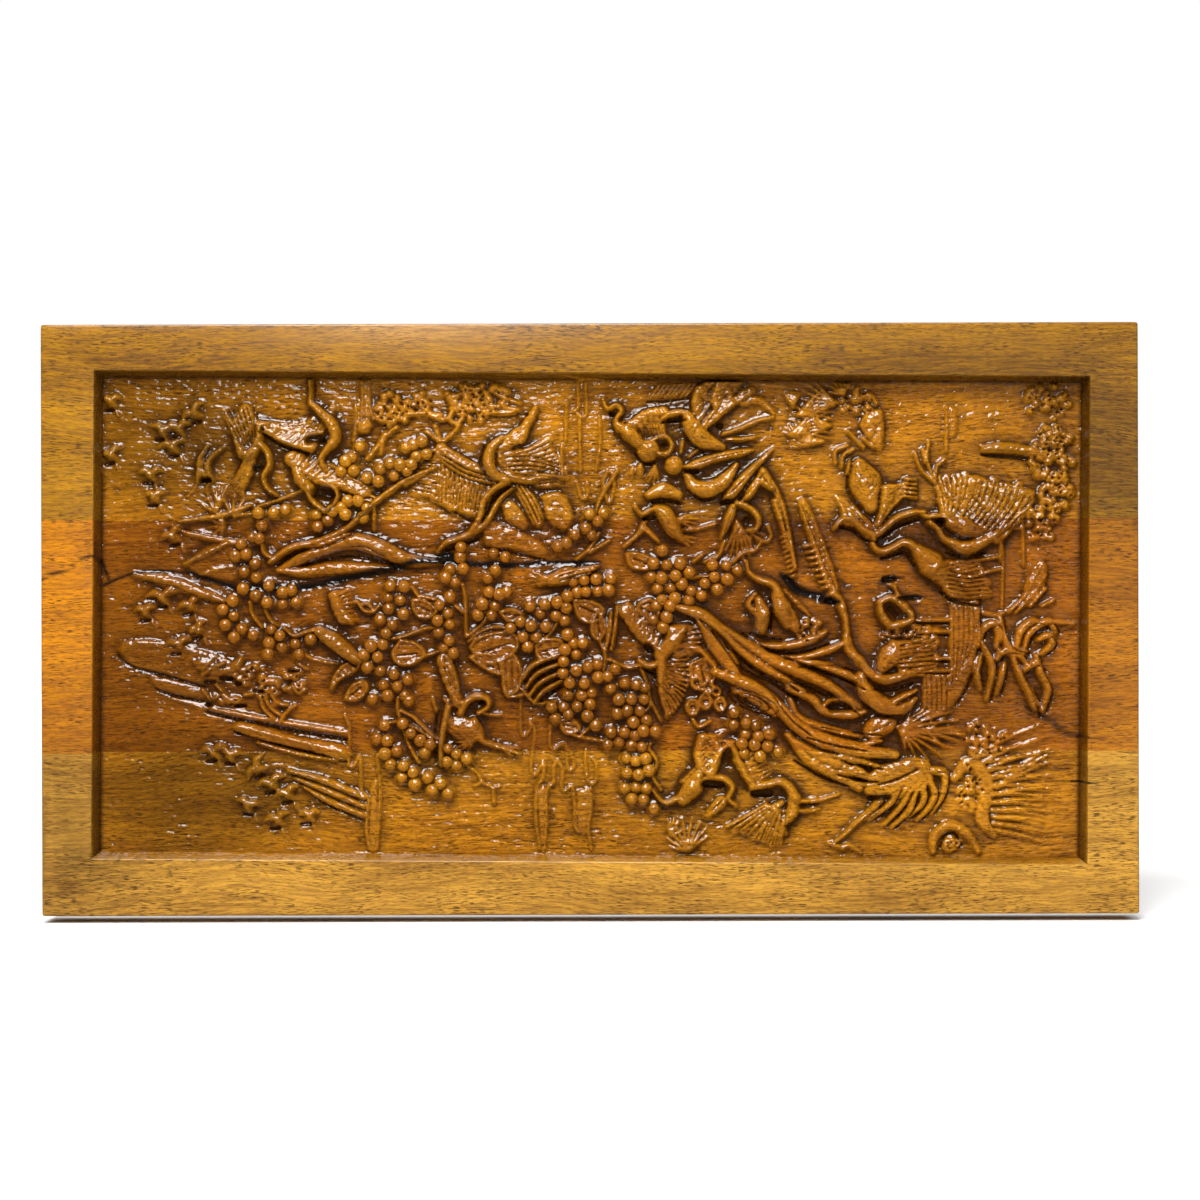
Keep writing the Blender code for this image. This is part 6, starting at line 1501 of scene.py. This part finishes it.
# noise in the wood and its lacquer: size, how far it is drawn out along the boards,
# and the part of it that is used
figuring = {
    "wander": {"scale": 16, "stretch": 2, "reach": 0.022},  # the grain strays up and down
    "broad": {"scale": 34, "stretch": 6, "used": (0.34, 0.66)},
    "streak": {"scale": 760, "stretch": 14, "used": (0.39, 0.61)},
    "pores": {"scale": 1900, "stretch": 9, "used": (0.525, 0.6)},
    "clusters": {"scale": 90, "stretch": 4, "used": (0.36, 0.6), "least": 0.4},
    "gloss": {"scale": 420, "stretch": 2, "used": (0.3, 0.7)},
    "facets": {"scale": 400, "stretch": 1.5, "height": 3.0},
}
lacquer = {
    "poreDark": 0.8,                # shares of the pore colour, the wear and painted highlight colour and the stain and painted shade colour
    "crestWearAndHighlight": 0.16,
    "hollowStainAndShade": 0.94,
    "fieldRough": (0.06, 0.17),     # glossiest and dullest places
    "borderRough": (0.34, 0.26),    # between the streaks and on them
    "specular": 0.5,
    "bumpStrength": 0.55,
    "bumpDistance": 0.00035,
}

# broad darker and lighter places: sheet place, half size, share of light added or taken
tones = (
    ((1115, 445), (36, 96), -0.6), ((1000, 345), (170, 18), 0.06), ((66, 450), (30, 70), 0.1),
    ((66, 640), (30, 110), 0.16), ((66, 830), (34, 90), -0.5), ((1115, 640), (30, 110), -0.2),
    ((600, 890), (180, 20), 0.12), ((160, 890), (160, 20), -0.06), ((150, 440), (90, 60), -0.6),
    ((250, 430), (70, 70), -0.18), ((500, 400), (120, 30), 0.18), ((940, 410), (90, 30), 0.2),
    ((1040, 520), (36, 110), 0.18), ((160, 650), (90, 90), -0.4), ((560, 640), (110, 60), -0.14),
    ((800, 712), (110, 66), 0.5), ((1040, 620), (40, 70), 0.2), ((190, 800), (110, 60), -0.58),
    ((470, 820), (110, 36), 0.12), ((1000, 800), (90, 56), 0.45), ((700, 830), (90, 30), -0.08),
    ((1030, 440), (50, 60), -0.22), ((640, 480), (60, 60), 0.06), ((905, 420), (60, 36), 0.08),
)


def woodMaterial(name):
    look = wood[name]
    material = bpy.data.materials.new(name + "_lacquered_wood")
    material.use_nodes = True
    nodes = material.node_tree.nodes
    links = material.node_tree.links
    shader = nodes["Principled BSDF"]

    def noise(kind, detail, rough=0.5, shift=0.0, source=None):
        # noise drawn out along the boards
        scale = figuring[kind]["scale"]
        spread = nodes.new("ShaderNodeMapping")
        spread.inputs["Location"].default_value = (look["shift"] + shift, shift, look["shift"] * 2)
        spread.inputs["Scale"].default_value = (scale / figuring[kind]["stretch"], scale, scale)
        links.new(source or grain, spread.inputs["Vector"])
        texture = nodes.new("ShaderNodeTexNoise")
        texture.inputs["Scale"].default_value = 1.0
        texture.inputs["Detail"].default_value = detail
        texture.inputs["Roughness"].default_value = rough
        links.new(spread.outputs["Vector"], texture.inputs["Vector"])
        return texture.outputs["Fac"]

    def ranged(value, low, high, newLow=0.0, newHigh=1.0):
        node = nodes.new("ShaderNodeMapRange")
        node.inputs["From Min"].default_value = low
        node.inputs["From Max"].default_value = high
        node.inputs["To Min"].default_value = newLow
        node.inputs["To Max"].default_value = newHigh
        links.new(value, node.inputs["Value"])
        return node.outputs["Result"]

    def reckon(kind, a, b):
        node = nodes.new("ShaderNodeMath")
        node.operation = kind
        for socket, value in zip(node.inputs, (a, b)):
            if isinstance(value, (int, float)):
                socket.default_value = value
            else:
                links.new(value, socket)
        return node.outputs[0]

    def blend(share, a, b):
        node = nodes.new("ShaderNodeMix")
        node.data_type = "RGBA"
        for socket, value in ((node.inputs[0], share), (node.inputs[6], a), (node.inputs[7], b)):
            if isinstance(value, tuple):
                socket.default_value = (*value, 1)
            elif isinstance(value, (int, float)):
                socket.default_value = value
            else:
                links.new(value, socket)
        return node.outputs[2]

    place = nodes.new("ShaderNodeTexCoord")
    paint = nodes.new("ShaderNodeAttribute")
    paint.attribute_name = "paint"
    parts = nodes.new("ShaderNodeSeparateColor")
    links.new(paint.outputs["Color"], parts.inputs["Color"])
    hollow, resin, field = parts.outputs
    crest = paint.outputs["Alpha"]

    # the grain wanders up and down along the board
    wander = reckon("SUBTRACT", noise("wander", 2, 0.5, 9.1, place.outputs["Object"]), 0.5)
    lift = nodes.new("ShaderNodeCombineXYZ")
    links.new(reckon("MULTIPLY", wander, figuring["wander"]["reach"]), lift.inputs["Z"])
    bent = nodes.new("ShaderNodeVectorMath")
    links.new(place.outputs["Object"], bent.inputs[0])
    links.new(lift.outputs["Vector"], bent.inputs[1])
    grain = bent.outputs["Vector"]
    broad = ranged(noise("broad", 4, 0.55), *figuring["broad"]["used"])
    streak = ranged(noise("streak", 4, 0.7, 1.3), *figuring["streak"]["used"])
    figure = reckon("ADD", reckon("MULTIPLY", broad, 0.5), reckon("MULTIPLY", streak, 0.5))
    outside = blend(figure, look["dark"], look["light"])
    within = blend(figure, look["fieldDark"], look["fieldLight"])
    colour = blend(field, outside, within)
    tone = nodes.new("ShaderNodeAttribute")
    tone.attribute_name = "tone"
    lit = nodes.new("ShaderNodeHueSaturation")
    links.new(reckon("ADD", tone.outputs["Fac"], 1.0), lit.inputs["Value"])
    links.new(colour, lit.inputs["Color"])
    colour = lit.outputs["Color"]
    pores = ranged(noise("pores", 2, 0.5, 4.4), *figuring["pores"]["used"])
    clusters = ranged(noise("clusters", 2, 0.5, 2.2), *figuring["clusters"]["used"],
                      figuring["clusters"]["least"])
    poreShare = reckon("MULTIPLY", pores, clusters)
    colour = blend(reckon("MULTIPLY", poreShare, lacquer["poreDark"]), colour, wood["pore"])
    # crests lightened for wear and as painted highlight, hollows darkened with stain and painted shade
    colour = blend(reckon("MULTIPLY", crest, lacquer["crestWearAndHighlight"]), colour, wood["wearAndHighlight"])
    colour = blend(reckon("MULTIPLY", hollow, lacquer["hollowStainAndShade"]), colour, wood["stainAndShade"])
    colour = blend(resin, colour, wood["resin"])
    links.new(colour, shader.inputs["Base Color"])

    gloss = ranged(noise("gloss", 3, 0.6, 6.0), *figuring["gloss"]["used"])
    fieldRough = ranged(gloss, 0, 1, *lacquer["fieldRough"])
    borderRough = ranged(streak, 0, 1, *lacquer["borderRough"])
    mixRough = nodes.new("ShaderNodeMix")
    mixRough.data_type = "FLOAT"
    links.new(field, mixRough.inputs[0])
    links.new(borderRough, mixRough.inputs[2])
    links.new(fieldRough, mixRough.inputs[3])
    links.new(mixRough.outputs[0], shader.inputs["Roughness"])
    shader.inputs["Specular IOR Level"].default_value = lacquer["specular"]

    # the lacquer lies in soft facets over the field
    facets = reckon("MULTIPLY", noise("facets", 1, 0.5, 5.0), field)
    bumpHeight = reckon("MULTIPLY", facets, figuring["facets"]["height"])
    bump = nodes.new("ShaderNodeBump")
    bump.inputs["Strength"].default_value = lacquer["bumpStrength"]
    bump.inputs["Distance"].default_value = lacquer["bumpDistance"]
    links.new(bumpHeight, bump.inputs["Height"])
    links.new(bump.outputs["Normal"], shader.inputs["Normal"])
    return material


# a straight-on view and a soft studio around it
studio = {
    "cameraPlace": (0.0055, -1.25, 0.0104),
    "frameWidth": 0.6557,        # seen at the panel's front
    "roll": 0.157,               # degrees
    "sensor": 36.0,
    "floorDrop": 0.004,          # the panel's lower edge stands this far above the floor
    "keyPlace": (-0.22, -0.95, 1.2),
    "keySize": 0.9,
    "keyPower": 44.0,
    "fillPlace": (0.9, -1.6, 0.3),
    "fillSize": 1.0,
    "fillPower": 1.2,
    "washPlace": (0, 2.6, 1.6),  # lights the floor behind the panel
    "washSize": 4.4,
    "washPower": 120.0,
    "glintPlace": (-0.16, -1.3, 0.6),
    "glintSize": 0.3,
    "glintPower": 3.0,
    "roomLight": 0.07,           # soft light from all round
    "backdrop": 1.0,             # how white the room itself looks
    "floorReach": 3.0,
    "floorTone": 0.9,
    "floorRough": 0.9,
}


def addLight(name, place, size, power, aim):
    light = bpy.data.lights.new(name, "AREA")
    light.shape = "SQUARE"
    light.size = size
    light.energy = power
    holder = bpy.data.objects.new(name, light)
    holder.location = place
    holder.rotation_euler = (Vector(aim) - Vector(place)).to_track_quat("-Z", "Y").to_euler()
    bpy.context.collection.objects.link(holder)


def makeStudio():
    scene = bpy.context.scene
    data = bpy.data.cameras.new("camera")
    data.sensor_width = studio["sensor"]
    distance = panelLow.y - studio["cameraPlace"][1]
    data.lens = studio["sensor"] * distance / studio["frameWidth"]
    camera = bpy.data.objects.new("camera", data)
    camera.location = studio["cameraPlace"]
    camera.rotation_euler = (math.pi / 2, math.radians(studio["roll"]), 0)
    bpy.context.collection.objects.link(camera)
    scene.camera = camera

    behind = studio["washPlace"]
    for kind, aim in (("key", (0, 0, 0)), ("fill", (0, 0, 0)), ("glint", (0, 0, 0)),
                      ("wash", (behind[0], behind[1], 0))):
        addLight(kind + " light", studio[kind + "Place"], studio[kind + "Size"], studio[kind + "Power"], aim)
    world = bpy.data.worlds.new("white room")
    world.use_nodes = True
    nodes = world.node_tree.nodes
    background = nodes["Background"]
    background.inputs["Color"].default_value = (1, 1, 1, 1)
    ray = nodes.new("ShaderNodeLightPath")
    strength = nodes.new("ShaderNodeMapRange")
    strength.inputs["To Min"].default_value = studio["roomLight"]
    strength.inputs["To Max"].default_value = studio["backdrop"]
    world.node_tree.links.new(ray.outputs["Is Camera Ray"], strength.inputs["Value"])
    world.node_tree.links.new(strength.outputs["Result"], background.inputs["Strength"])
    scene.world = world
    scene.view_settings.view_transform = "Standard"

    mesh = bpy.data.meshes.new("floor")
    reach = studio["floorReach"]
    level = panelLow.z - studio["floorDrop"]
    mesh.from_pydata([(-reach, -reach, level), (reach, -reach, level), (reach, reach, level),
                      (-reach, reach, level)], [], [(0, 1, 2, 3)])
    floor = bpy.data.objects.new("floor", mesh)
    material = bpy.data.materials.new("pale_floor")
    material.use_nodes = True
    shader = material.node_tree.nodes["Principled BSDF"]
    shader.inputs["Base Color"].default_value = (*[studio["floorTone"]] * 3, 1)
    shader.inputs["Roughness"].default_value = studio["floorRough"]
    mesh.materials.append(material)
    bpy.context.collection.objects.link(floor)
    floor.visible_glossy = False    # the lacquer doesn't mirror the floor


makeStudio()
carving = makeCarving()
finishCarving(carving)
print("stage 2: relief drawn,", len(carving.berries), "berries")

berries = berryTree()
spans = {
    "board_bottom": (panelLow.z, lowerJoint),
    "board_middle": (lowerJoint, upperJoint),
    "board_top": (upperJoint, panelHigh.z),
}
for name, (low, high) in spans.items():    # each board's lower and upper edge
    material = woodMaterial(name)
    vine = berryMesh(carving, berries, material, low, high)
    berryTriangles = sum(len(p.vertices) - 2 for p in vine.polygons)
    board = thinned(boardMesh(name, carving, low, high), name, meshing["triangles"] - berryTriangles)
    piece = joined([board, vine], "carved_" + name, material)
    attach(piece, "root")
    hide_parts(name)
    print("stage 3:", name, "carved,", len(piece.data.polygons), "faces")
